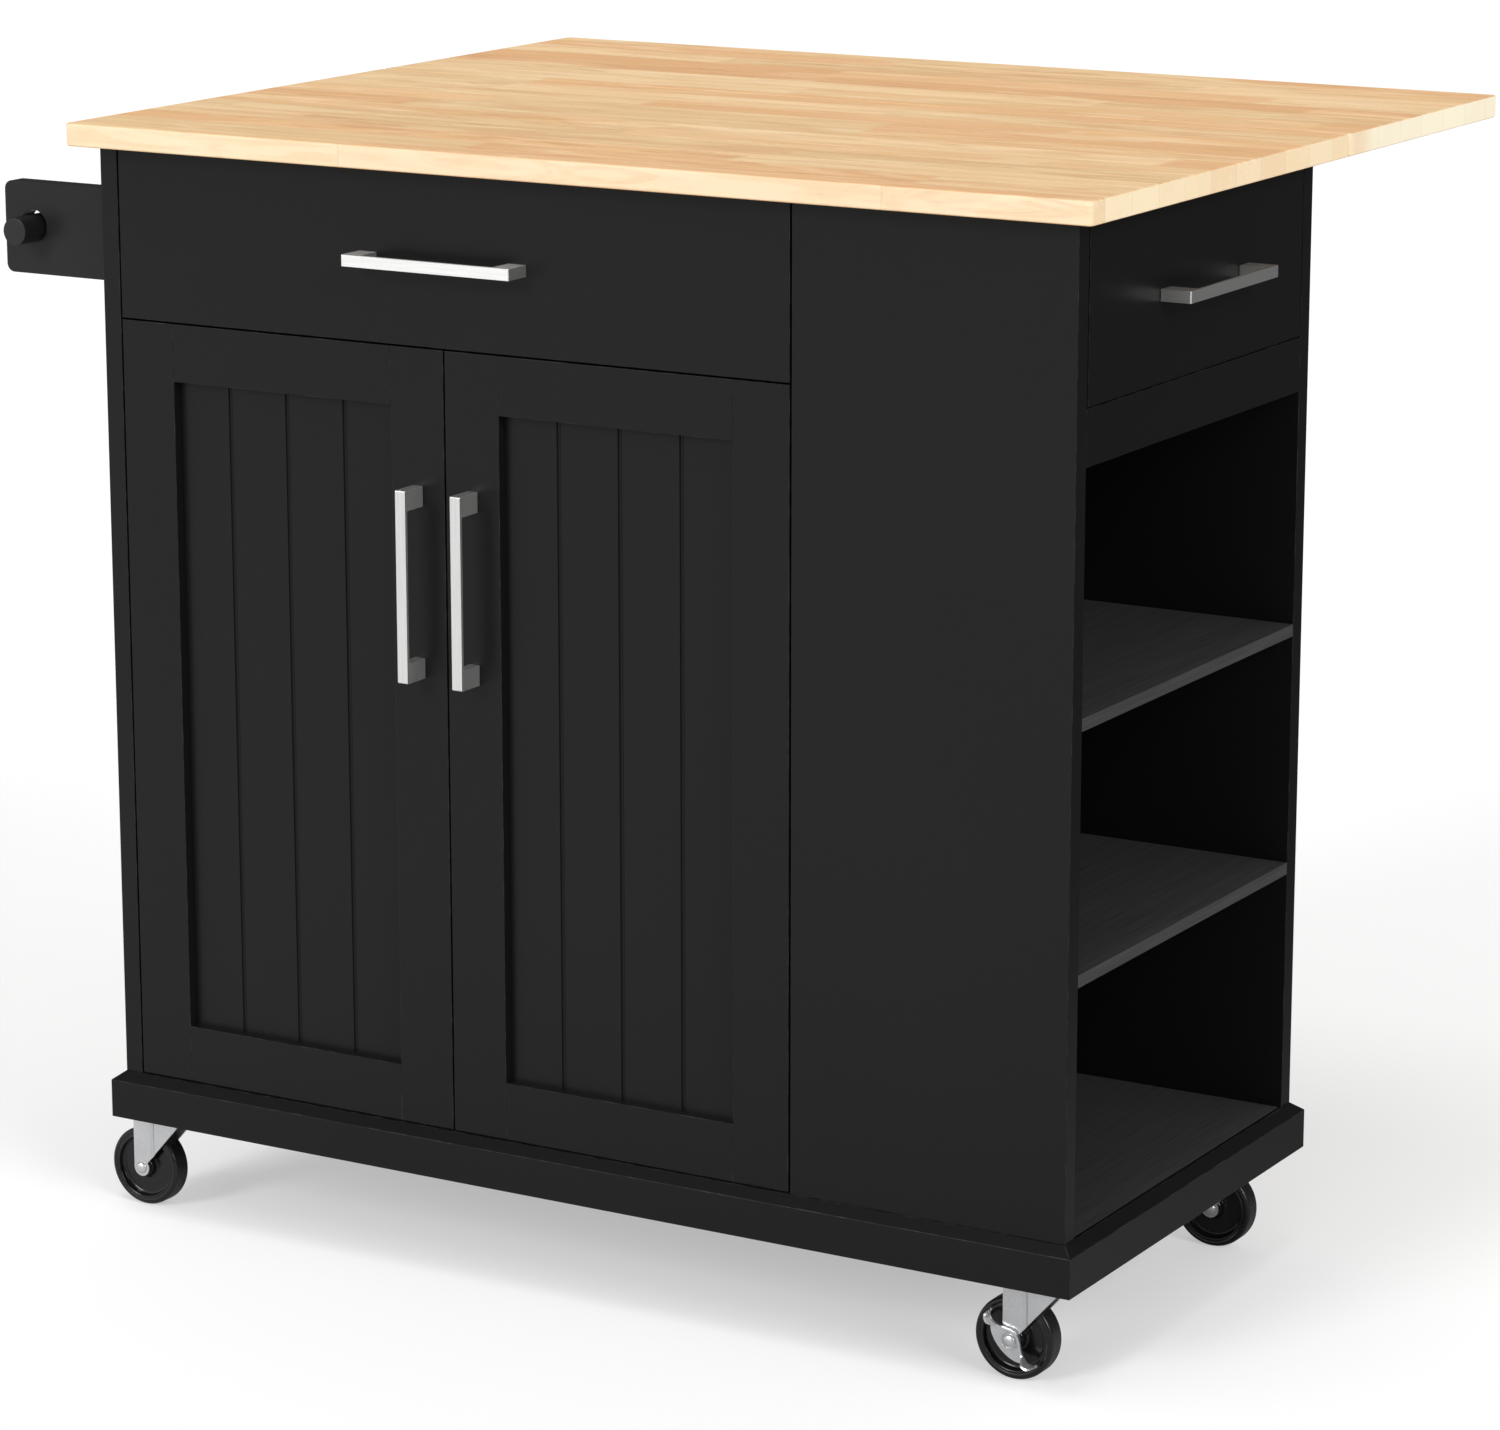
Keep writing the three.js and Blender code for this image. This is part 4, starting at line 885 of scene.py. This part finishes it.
for node in ("front_drawer_box", "end_drawer_box"):
    dress(node, 0.8 * MM)
for runner, drawer, side in (("front_drawer_runner_left", "front_drawer", -1),
                             ("front_drawer_runner_right", "front_drawer", 1),
                             ("end_drawer_runner_front", "end_drawer", -1),
                             ("end_drawer_runner_rear", "end_drawer", 1)):
    dress(runner, 0.3 * MM)
    drawer_member(drawer, runner, side)
print("drawer boxes and runners made")

# %% [markdown]
# ## Leaf hinges and folding supports
# The frame's solids carry these pressings fully: plates with screw holes, knuckles and pins,
# arms with their tracks. Easing their edges by a fraction of a millimetre is enough.

# %% Leaf hinges and supports
for side in ("left", "right"):
    for part in ("fixed", "moving"):
        dress(f"leaf_hinge_{side}_{part}", 0.2 * MM)
    for part in ("strip", "arm", "brace"):
        dress(f"leaf_support_{side}_{part}", 0.3 * MM)
print("leaf hardware dressed")

# %% [markdown]
# ## Towel rack
# Two board brackets with well rounded edges carry a round steel rod. The hole in the bracket
# keeps a crisp edge, so only edges away from the hole are rounded. The rod is turned afresh,
# with enough sides to look round in the picture.

# %% Brackets and rod
BRACKET_ROUND, HOLE_REACH, ROD_CHAMFER = 2.6 * MM, 14 * MM, 1 * MM
rod_low, rod_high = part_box("towel_rod")
rod_x, rod_z = (rod_low.x + rod_high.x) / 2, (rod_low.z + rod_high.z) / 2
panel_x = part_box("towel_bracket_front")[1].x


def outer_edge(edge):
    """Away from the hole and from the side panel."""
    a, b = (vert.co for vert in edge.verts)
    middle = (a + b) / 2
    return (math.hypot(middle.x - rod_x, middle.z - rod_z) > HOLE_REACH
            and max(a.x, b.x) < panel_x - 1e-5)


for node in ("towel_bracket_front", "towel_bracket_rear"):
    stand_in(ease(shape_of(node), BRACKET_ROUND, 4, outer_edge), node, rack_lacquer)

radius, length = (rod_high.z - rod_low.z) / 2, rod_high.y - rod_low.y
rod_end = [(0, 0), (radius - ROD_CHAMFER, 0), (radius - 0.3 * ROD_CHAMFER, 0.3 * ROD_CHAMFER),
           (radius, ROD_CHAMFER)]
rod_profile = rod_end + [(r, length - z) for r, z in reversed(rod_end)]
stand_in(turned(rod_profile, 96, along_y(rod_x, rod_low.y, rod_z)), "towel_rod", coat)
print("towel rack made")

# %% [markdown]
# ## Casters
# Each caster is a plate, a pressed zinc fork, a moulded wheel and, on two of them, a brake
# rocker. The wheel is turned from a finer profile than the solid: a rounded tread, a lip, and
# a dished web. The fork's legs are plates with a pressed bead; its crown is turned.

# %% Caster sizes
TRAIL, AXLE_HEIGHT, TREAD_FROM = 24 * MM, 32.5 * MM, 31.3 * MM
FORK = sizes(inside=10.2, sheet=2.2, outside=12.4, eye=7.3, deck_top=79.5, deck_front=16,
             deck_round=5, leg_front=14, knee_x=12, knee_z=71, pin=2.9)
BEAD = sizes(start=-15.0, end=-9.4, depth=0.9)
BEAD_STEPS = 8
DOME_SECTION = in_mm([(4.4, 78.5), (18.8, 78.5), (18.8, 80.7), (18.2, 81.9), (17, 83.5),
                      (16, 83.8), (4.4, 83.8), (4.4, 78.5)])
HEAD_SECTION = in_mm([(3.038, -0.2), (4.9, -0.2), (4.9, 0.5), (4.557, 1.15), (3.675, 1.75),
                      (2.45, 2.2), (1.225, 2.38), (0, 2.4)])
STEM = in_mm([(0, -1), (3.038, -1)])
HEAD_OVER_BRAKE = 2.3 * MM
corners = ("front_left", "front_right", "rear_left", "rear_right")
braked_corners = ("front_right", "rear_left")


def swivel_axis(corner):
    """Where the caster turns, from its plate."""
    low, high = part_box(f"caster_{corner}_plate")
    return Vector(((low.x + high.x) / 2, (low.y + high.y) / 2, 0))


print("casters at", [tuple(round(v, 3) for v in swivel_axis(c)[:2]) for c in corners])


# %% Wheels
def bend(radius, height, size, start, end, steps):
    """Points of an arc in the section; its centre is at 'radius' and 'height'."""
    turns = [math.radians(start + (end - start) * k / steps) for k in range(steps + 1)]
    return [(radius + size * math.cos(turn), height + size * math.sin(turn)) for turn in turns]


def wheel_profile():
    """One side of the section from the bore outwards, then the other side back, in mm."""
    radius, half, bore, hub, web, lip = 32.5, 9, 3.4, 8.5, 3.8, 26
    foot, crest, tread = 2.8, 1.3, 3.4
    side = [(bore, half), (hub - 0.8, half), (hub, half - 0.8), (hub + 1, web + 0.8),
            (hub + 2.2, web),
            *bend(lip - 0.9 - foot, web + foot, foot, -90, -14, 6),
            *bend(lip - 0.9 + crest, half - 0.2 - crest, crest, 166, 90, 5),
            (lip + 1.5, half - 0.7), (lip + 2.1, half - 0.5),
            *bend(radius - tread, half - 0.1 - tread, tread, 90, 0, 6)]
    return side + [(r, -h) for r, h in reversed(side)] + side[:1]


def wheel(corner):
    axis = swivel_axis(corner)
    hub = Vector((axis.x - TRAIL, axis.y, AXLE_HEIGHT))
    bm = turned(in_mm(wheel_profile()), 96, along_y(*hub))
    tread = bm.faces.layers.float.new("tread")
    for face in bm.faces:
        out = face.calc_center_median() - hub
        face[tread] = 1.0 if math.hypot(out.x, out.z) > TREAD_FROM else 0.0
    stand_in(bm, f"caster_{corner}_wheel", plastic, 32.0)


for corner in corners:
    wheel(corner)
print("wheels turned")


# %% Forks and plates
def arc(centre, radius, start, turn, steps):
    """Points round a centre, from an angle on through a turn."""
    turns = [start + turn * k / steps for k in range(steps + 1)]
    return [(centre[0] + radius * math.cos(t), centre[1] + radius * math.sin(t)) for t in turns]


def leg_outline():
    """The leg seen from the side: a round eye at the axle and a slanted front edge."""
    top = FORK.deck_top - 1 * MM
    return [(FORK.knee_x, FORK.knee_z), (FORK.leg_front, top), (-TRAIL - FORK.eye, top),
            *arc((-TRAIL, AXLE_HEIGHT), FORK.eye, math.pi, math.pi * 1.2, 24)]


def fork_leg(side):
    """A plate with a soft round bead pressed into it from top to bottom, which stiffens it.
    side is -1 at the front, 1 at the back."""
    y = -FORK.inside if side < 0 else FORK.outside
    bm = plate(leg_outline(), FORK.sheet, along_y(0, y, 0, 1))
    for k in range(BEAD_STEPS + 1):
        x = BEAD.start + (BEAD.end - BEAD.start) * k / BEAD_STEPS
        bmesh.ops.bisect_plane(bm, geom=bm.verts[:] + bm.edges[:] + bm.faces[:], dist=1e-7,
                               plane_co=(x, 0, 0), plane_no=(1, 0, 0))
    for v in bm.verts:
        share = (v.co.x - BEAD.start) / (BEAD.end - BEAD.start)
        if 0 < share < 1:
            v.co.y -= side * BEAD.depth * (1 - math.cos(2 * math.pi * share)) / 2
    return ease(bm, 0.45 * MM, 2)


def deck():
    """The folded sheet above the wheel: a rectangle with round corners."""
    x0, x1, y = -TRAIL - FORK.eye, FORK.deck_front, FORK.outside
    r = FORK.deck_round
    outline = [point for cx, cy, start in ((x1 - r, r - y, -90), (x1 - r, y - r, 0),
                                           (x0 + r, y - r, 90), (x0 + r, r - y, 180))
               for point in arc((cx, cy), r, math.radians(start), math.pi / 2, 6)]
    low = Matrix.Translation((0, 0, FORK.deck_top - FORK.sheet))
    return ease(plate(outline, FORK.sheet, low), 0.9 * MM, 3)


def axle_head(base, away, lift):
    """A low round rivet head on the leg, or on a stem over the brake when lift is not 0."""
    profile = STEM + [(radius, lift + height) for radius, height in HEAD_SECTION]
    return turned(profile, 40, along_y(-TRAIL, base, AXLE_HEIGHT, -away))


def fork(corner):
    """Two legs, the deck, the crown over the ball race, the axle and its heads."""
    y = FORK.outside
    pin = turned([(0, -y), (FORK.pin, -y), (FORK.pin, y), (0, y)], 24,
                 along_y(-TRAIL, 0, AXLE_HEIGHT))
    lift = HEAD_OVER_BRAKE if corner in braked_corners else 0.0
    bm = merge(fork_leg(-1), fork_leg(1), deck(), turned(DOME_SECTION, 64), pin,
               axle_head(-y, -1, lift), axle_head(y, 1, 0.0))
    bmesh.ops.translate(bm, verts=bm.verts, vec=swivel_axis(corner))
    stand_in(bm, f"caster_{corner}_fork", zinc, 35.0)


for corner in corners:
    fork(corner)
    dress(f"caster_{corner}_plate", 0.3 * MM)
print("forks and plates made")


# %% [markdown]
# The brake is a rocker pressed from sheet. A rounded plate lies on the axle, and along its
# upper edge the sheet is folded out towards the user. The fold is a narrow flange in the
# middle and widens into a ribbed thumb pad at each end. It is one grid of points: along the
# fold line one way, and across plate, bend and flange the other. Solidify gives the thickness.

# %% Brake rocker
ROCKER_LINE = [Vector(point) * MM for point in (
    (0.0, 8.2), (5.0, 6.6), (11.0, 2.6), (16.5, 0.2), (21.5, 0.0), (25.2, 1.8), (26.8, 5.0))]
ROCKER = sizes(belly=11, belly_reach=20, hem=1.2, bend=1.3, flange=1.6, pad=9.2, rib=0.3,
               sheet=1.5, off_leg=1.2)
RING_SECTION = in_mm([(5.9, -0.75), (7.6, -0.75), (7.6, 1.05), (7.2, 1.65), (6.5, 1.65),
                      (5.9, 0.95), (5.9, -0.75)])
ROCKER_TILT, RIBS = math.radians(45), 3
PAD_STARTS, PAD_FULL, PAD_ROUNDS = 0.42, 0.66, 0.80
ALONG_STEPS, PLATE_STEPS, BEND_STEPS, FLANGE_STEPS = 72, 9, 5, 18


def line_point(u):
    """A smooth curve through the half line's points, mirrored for negative u."""
    points = ROCKER_LINE
    mirrored = [Vector((-points[1].x, points[1].y))] + points + [2 * points[-1] - points[-2]]
    place = min(abs(u), 0.9999) * (len(points) - 1)
    k, f = int(place), place - int(place)
    a, b, c, d = mirrored[k:k + 4]
    at = 0.5 * (2 * b + (c - a) * f + (2 * a - 5 * b + 4 * c - d) * f * f
                + (3 * b - a - 3 * c + d) * f ** 3)
    return Vector((math.copysign(at.x, u) if u else 0.0, at.y))


def flange_width(u):
    """Narrow in the middle, wide at the pads, rounded at the ends. Also how far u is a pad."""
    f = min(1.0, max(0.0, (abs(u) - PAD_STARTS) / (PAD_FULL - PAD_STARTS)))
    pad = f * f * (3 - 2 * f)
    end = max(0.0, (abs(u) - PAD_ROUNDS) / (1 - PAD_ROUNDS))
    width = ROCKER.flange + (ROCKER.pad - ROCKER.flange) * pad
    return width * math.sqrt(max(0.08, 1 - 0.92 * end * end)), f


def rocker_row(u):
    """Points across the sheet at u, from the belly over the bend to the flange's edge."""
    at = line_point(u)
    along = (line_point(min(1, u + 0.01)) - line_point(max(-1, u - 0.01))).normalized()
    outward = Vector((-along.y, along.x))
    width, pad = flange_width(u)
    reach = min(1.0, abs(at.x) / ROCKER.belly_reach)
    belly = -ROCKER.belly * math.sqrt(max(0.0, 1 - reach * reach))
    foot = at - outward * ROCKER.bend
    low = Vector((at.x, min(belly, foot.y - ROCKER.hem)))
    row = [(low + (foot - low) * k / PLATE_STEPS, 0.0) for k in range(PLATE_STEPS + 1)]
    for k in range(1, BEND_STEPS + 1):
        turn = math.pi / 2 * k / BEND_STEPS
        row.append((foot + outward * ROCKER.bend * math.sin(turn),
                    ROCKER.bend * (1 - math.cos(turn))))
    for k in range(1, FLANGE_STEPS + 1):
        rib = ROCKER.rib * pad * math.sin(k / FLANGE_STEPS * math.pi * 2 * RIBS)
        row.append((at + outward * rib, ROCKER.bend + width * k / FLANGE_STEPS))
    return [Vector((place.x, -out, place.y)) for place, out in row]


def rocker_sheet():
    bm = bmesh.new()
    grid = [[bm.verts.new(p) for p in rocker_row(-1 + 2 * i / ALONG_STEPS)]
            for i in range(ALONG_STEPS + 1)]
    for a, b in zip(grid, grid[1:]):
        for j in range(len(a) - 1):
            bm.faces.new((a[j], b[j], b[j + 1], a[j + 1]))
    mesh = mesh_from(bm, "rocker_sheet")
    holder = placed_object("rocker_sheet", mesh)
    shell = holder.modifiers.new("sheet", "SOLIDIFY")
    shell.thickness, shell.offset = ROCKER.sheet, 0.0
    arris = holder.modifiers.new("arris", "BEVEL")
    arris.width, arris.segments, arris.limit_method = 0.35 * MM, 2, "ANGLE"
    arris.angle_limit = math.radians(50)
    made = bpy.data.meshes.new_from_object(
        holder.evaluated_get(bpy.context.evaluated_depsgraph_get()))
    solid = bmesh.new()
    solid.from_mesh(made)
    bmesh.ops.recalc_face_normals(solid, faces=solid.faces)
    bpy.data.objects.remove(holder)
    for spent in (mesh, made):
        bpy.data.meshes.remove(spent)
    return solid


def rocker(corner):
    """The sheet and the raised ring round the axle."""
    bm = merge(rocker_sheet(), turned(RING_SECTION, 48, along_y(0, 0, 0, 1)))
    axle = swivel_axis(corner) + Vector((-TRAIL, -FORK.outside - ROCKER.off_leg, AXLE_HEIGHT))
    bmesh.ops.transform(bm, matrix=Matrix.Translation(axle) @ Matrix.Rotation(
        ROCKER_TILT, 4, "Y"), verts=bm.verts)
    made = stand_in(bm, f"caster_{corner}_brake", zinc, 40.0)
    print(corner, "rocker:", len(made.data.polygons), "faces")


for corner in braked_corners:
    rocker(corner)

# %% [markdown]
# ## Screws
# A few dozen small cross-head screws hold the plates, hinges and supports. One tree makes a
# screw head from a cone and a boolean cross and stands it on every point of a mesh, turned to
# the point's own direction. There is one mesh of screws for each body, so they travel with it.


# %% Screws in Geometry Nodes
SCREW = sizes(head_radius=3.4, head_height=1.5, cross_width=0.9)


def screws_tree():
    net = Group("screws", [("Geometry", GEOMETRY), ("Head Radius", FLOAT),
                ("Head Height", FLOAT), ("Cross Width", FLOAT), ("Finish", MATERIAL)],
                [("Geometry", GEOMETRY)], "GeometryNodeTree")
    radius, height, width = net["Head Radius"], net["Head Height"], net["Cross Width"]
    head = net.get("GeometryNodeMeshCone", {"Vertices": 20, "Radius Bottom": radius,
                   "Radius Top": net.times(radius, 0.55), "Depth": height})
    cross = net.add("GeometryNodeMeshBoolean", operation="UNION", solver="EXACT")
    long = net.times(radius, 1.1)
    for x, y in ((long, width), (width, long)):
        bar = net.get("GeometryNodeMeshCube", {"Size": net.join(x, y, height)})
        arm = net.get("GeometryNodeTransform", {"Geometry": bar,
                                                "Translation": net.join(0.0, 0.0, height)})
        net.put(arm, cross.inputs["Mesh 2"])
    cut = net.get("GeometryNodeMeshBoolean", {"Mesh 1": head, "Mesh 2": cross.outputs[0]},
                  operation="DIFFERENCE", solver="EXACT")
    facing = net.get("GeometryNodeInputNamedAttribute", {"Name": "facing"},
                     data_type="FLOAT_VECTOR")
    turn = net.get("FunctionNodeAlignRotationToVector", {"Vector": facing}, axis="Z")
    spin = net.add("FunctionNodeRandomValue", {2: 0.0, 3: 1.5, "Seed": 7}, data_type="FLOAT")
    spun = net.get("FunctionNodeRotateRotation", {
        0: turn, 1: net.join(0.0, 0.0, spin.outputs[1])}, rotation_space="LOCAL")
    return painted(net, net.get("GeometryNodeInstanceOnPoints", {
        "Points": net["Geometry"], "Instance": cut, "Rotation": spun}))


screw_tree = screws_tree()
print("tree", screw_tree.name)

# %% [markdown]
# The screws sit in the holes of the frame's plates. Each place is worked out from the plate's
# box and the spacing of its holes, and it carries the direction that the head faces.

# %% Places of the screws
seam_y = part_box("drop_leaf")[0].y
screws = {"cabinet": [], "leaf": []}


def row_of_screws(body, facing, *places):
    screws[body] += [(Vector(place), facing) for place in places]


for side in ("left", "right"):
    for part, body, line in (("fixed", "cabinet", -12.85 * MM), ("moving", "leaf", 12.85 * MM)):
        low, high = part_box(f"leaf_hinge_{side}_{part}")
        x = (low.x + high.x) / 2
        row_of_screws(body, -Z, *[(x + dx * MM, seam_y + line, high.z - 1.7 * MM)
                                  for dx in (-20, 0, 20)])
    low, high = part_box(f"leaf_support_{side}_strip")
    x = (low.x + high.x) / 2
    row_of_screws("cabinet", Y, *[(x, low.y + 1.9 * MM, z)
                                  for z in (low.z + 12 * MM, high.z - 12 * MM)])
    low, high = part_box(f"leaf_support_{side}_arm")
    x = (low.x + high.x) / 2
    row_of_screws("leaf", -Z, *[(x, seam_y + y * MM, high.z - 2 * MM) for y in (40, 110, 190)])
    for end in ("lower", "upper"):
        low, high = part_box(f"door_{side}_hinge_{end}")
        z = (low.z + high.z) / 2
        into = 1 if side == "left" else -1
        face = (low.x if side == "left" else high.x) + into * 2.5 * MM
        row_of_screws("cabinet", X * into, *[(face, low.y + 38 * MM, z + dz)
                                             for dz in (-20 * MM, 20 * MM)])
for corner in corners:
    x, y, _ = swivel_axis(corner)
    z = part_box(f"caster_{corner}_plate")[1].z - 2.4 * MM
    row_of_screws("cabinet", -Z, *[(x + dx * 15 * MM, y + dy * 15 * MM, z)
                                   for dx in (-1, 1) for dy in (-1, 1)])
print("screws:", {body: len(places) for body, places in screws.items()})

# %% Stand the screws on their places
for body, places in screws.items():
    base = bpy.data.meshes.new(f"{body}_screws")
    base.from_pydata([place for place, _ in places], [], [])
    facing = base.attributes.new("facing", "FLOAT_VECTOR", "POINT")
    for row, (_, direction) in zip(facing.data, places):
        row.vector = direction
    made = grown(screw_tree, f"{body}_screws", base, {
        "Head Radius": SCREW.head_radius, "Head Height": SCREW.head_height,
        "Cross Width": SCREW.cross_width, "Finish": zinc}, 30.0)
    hang(made, body, "zinc")
    print(body, "screws:", len(places), "with", len(made.data.polygons), "faces")

# %% [markdown]
# ## Shelf pins
# The cupboard's shelf lies on four steel pins: a short peg in the side and a flat tongue under
# the shelf.

# %% Shelf pins
PIN_PROFILE = in_mm([(0, 0), (3.6, 0), (3.6, 1.2), (2.5, 1.6), (2.5, 5), (2, 5.6), (0, 5.6)])
low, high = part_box("cupboard_shelf")
pins = []
for wall, into in ((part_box("left_side_panel")[1].x, 1), (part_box("partition")[0].x, -1)):
    for y in (low.y + 40 * MM, high.y - 40 * MM):
        x0, x1 = sorted((wall + into * 0.4 * MM, wall + into * 9 * MM))
        tongue = brick(x0, x1, y - 3.5 * MM, y + 3.5 * MM, low.z - 2 * MM, low.z - 0.1 * MM)
        collar = Matrix.Translation((wall + into * 0.2 * MM, y, low.z - 3.6 * MM))
        collar @= Matrix.Rotation(into * math.pi / 2, 4, "Y")
        pins += [ease(tongue, 0.4 * MM), turned(PIN_PROFILE, 20, collar)]
hang(piece(merge(*pins), "cupboard_shelf_pins", zinc), "cabinet", "zinc")
print("shelf pins: 4")

# %% [markdown]
# ## Studio
# A wide pale floor, an even surround and three soft lamps: a key low at the front left, a
# weaker one overhead and a fill from the right. They are sun lamps with a wide angle, which
# throw the soft shadow of a big softbox and are as strong behind the island as in front of it,
# so the floor stays evenly white. Only the camera sees the floor that white. In reflections
# the front left is bright and the back right is dim, as between a white and a dark cloth. A
# camera below the floor looks through it, so the underside of the island can be seen.

# %% Floor
FLOOR_SIZE = 60
FLOOR_SEEN, FLOOR_LIFT, FLOOR_BOUNCE = 0.60, 0.43, 0.80
MIRROR_BRIGHT, MIRROR_DIM = 0.9, 0.07
CLOTH_SIDE = Vector((-0.5, -0.85, 0.05)).normalized()


def toward_cloths(net, vector, dim, bright):
    """0 at the dark cloth, 1 at the white one, for a place or a direction."""
    side = net.add("ShaderNodeVectorMath", {0: vector, 1: tuple(CLOTH_SIDE)},
                   operation="DOT_PRODUCT").outputs["Value"]
    return net.ease(side, dim, bright)


def studio_floor():
    half = FLOOR_SIZE / 2
    mesh = bpy.data.meshes.new("studio_floor")
    mesh.from_pydata([(-half, -half, 0), (half, -half, 0), (half, half, 0), (-half, half, 0)],
                     [], [(0, 1, 2, 3)])
    floor = placed_object("studio_floor", mesh)
    net = Material("pale_floor", Specular_IOR_Level=0.0, Roughness=1.0, Emission_Strength=1.0)
    rays = net.add("ShaderNodeLightPath").outputs
    camera_ray = rays["Is Camera Ray"]
    mirrored = net.remap(toward_cloths(net, net.place, -1.6, 1.6), 0.0, 1.0, MIRROR_DIM,
                         MIRROR_BRIGHT)
    shade = net.mix(rays["Is Glossy Ray"], FLOOR_BOUNCE, mirrored)
    shade = net.mix(camera_ray, shade, FLOOR_SEEN)
    cloud = net.remap(net.use(mottle, Slow=1.5, Fast=40.0), 0.0, 1.0, 0.985, 1.0)
    below = net.add("ShaderNodeNewGeometry").outputs["Backfacing"]
    net.shade(Base_Color=net.grey(net.times(shade, cloud)),
              Emission_Color=net.grey(net.times(camera_ray, FLOOR_LIFT)),
              Alpha=net.calc("SUBTRACT", 1.0, net.times(camera_ray, below)))
    mesh.materials.append(net.material)
    floor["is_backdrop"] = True


studio_floor()
print("floor", FLOOR_SIZE, "m wide")

# %% Surround
SURROUND_LIGHT = 0.50


def surround():
    world = bpy.data.worlds.new("surround")
    bpy.context.scene.world = world
    world.use_nodes = True
    net = Net(world.node_tree)
    rays = net.add("ShaderNodeLightPath").outputs
    seen = net.calc("MAXIMUM", rays["Is Camera Ray"], rays["Is Transmission Ray"])
    direction = net.add("ShaderNodeTexCoord").outputs["Generated"]
    mirrored = net.remap(toward_cloths(net, direction, 0.35, 0.95), 0.0, 1.0, MIRROR_DIM, 1.0)
    strength = net.mix(rays["Is Glossy Ray"], SURROUND_LIGHT, mirrored)
    background = net.tree.nodes["Background"].inputs
    net.put((1, 1, 1, 1), background["Color"])
    net.put(net.calc("MAXIMUM", strength, seen), background["Strength"])


surround()
print("surround", SURROUND_LIGHT)


# %% Lamps
def soft_lamp(name, comes_from, strength, width):
    """A sun lamp. A white surface that faces it squarely gets this strength of white."""
    lamp = placed_object(name, bpy.data.lights.new(name, "SUN"))
    lamp.data.energy, lamp.data.angle = strength * math.pi, math.radians(width)
    lamp.location = Vector(comes_from).normalized() * 4
    lamp.rotation_euler = Vector(comes_from).to_track_quat("Z", "Y").to_euler()


lamps = (("key_lamp", (-0.25, -0.85, 0.46), 0.40, 20), ("top_lamp", (-0.05, -0.15, 1.0), 0.20, 24),
         ("fill_lamp", (0.80, -0.30, 0.45), 0.40, 28))
for lamp in lamps:
    soft_lamp(*lamp)
print("lamps:", len(lamps))

# %% [markdown]
# ## Camera
# The photograph is taken from the front right, a little above the worktop, with a long lens.
# Its upright lines are parallel, as a shifted lens gives. A shift that large would push the
# island out of any other view, so the camera is tilted down instead.

# %% Camera
CAMERA_PLACE, LENS = (2.06512, -3.54391, 1.37138), 123.7
CAMERA_AZIMUTH, CAMERA_PITCH = math.radians(30.19), math.radians(13.465)
camera = placed_object("camera", bpy.data.cameras.new("camera"))
camera.data.sensor_width, camera.data.lens = 36, LENS
camera.location = CAMERA_PLACE
camera.rotation_euler = (math.pi / 2 - CAMERA_PITCH, 0, CAMERA_AZIMUTH)
bpy.context.scene.camera = camera
bpy.context.scene.view_settings.view_transform = "Standard"
print("camera at", CAMERA_PLACE, "lens", LENS)

# %% [markdown]
# ## The size
# The dressed island must fill the same box as the solids; its box is measured here.

# %% Sizes and the last line
low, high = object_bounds()
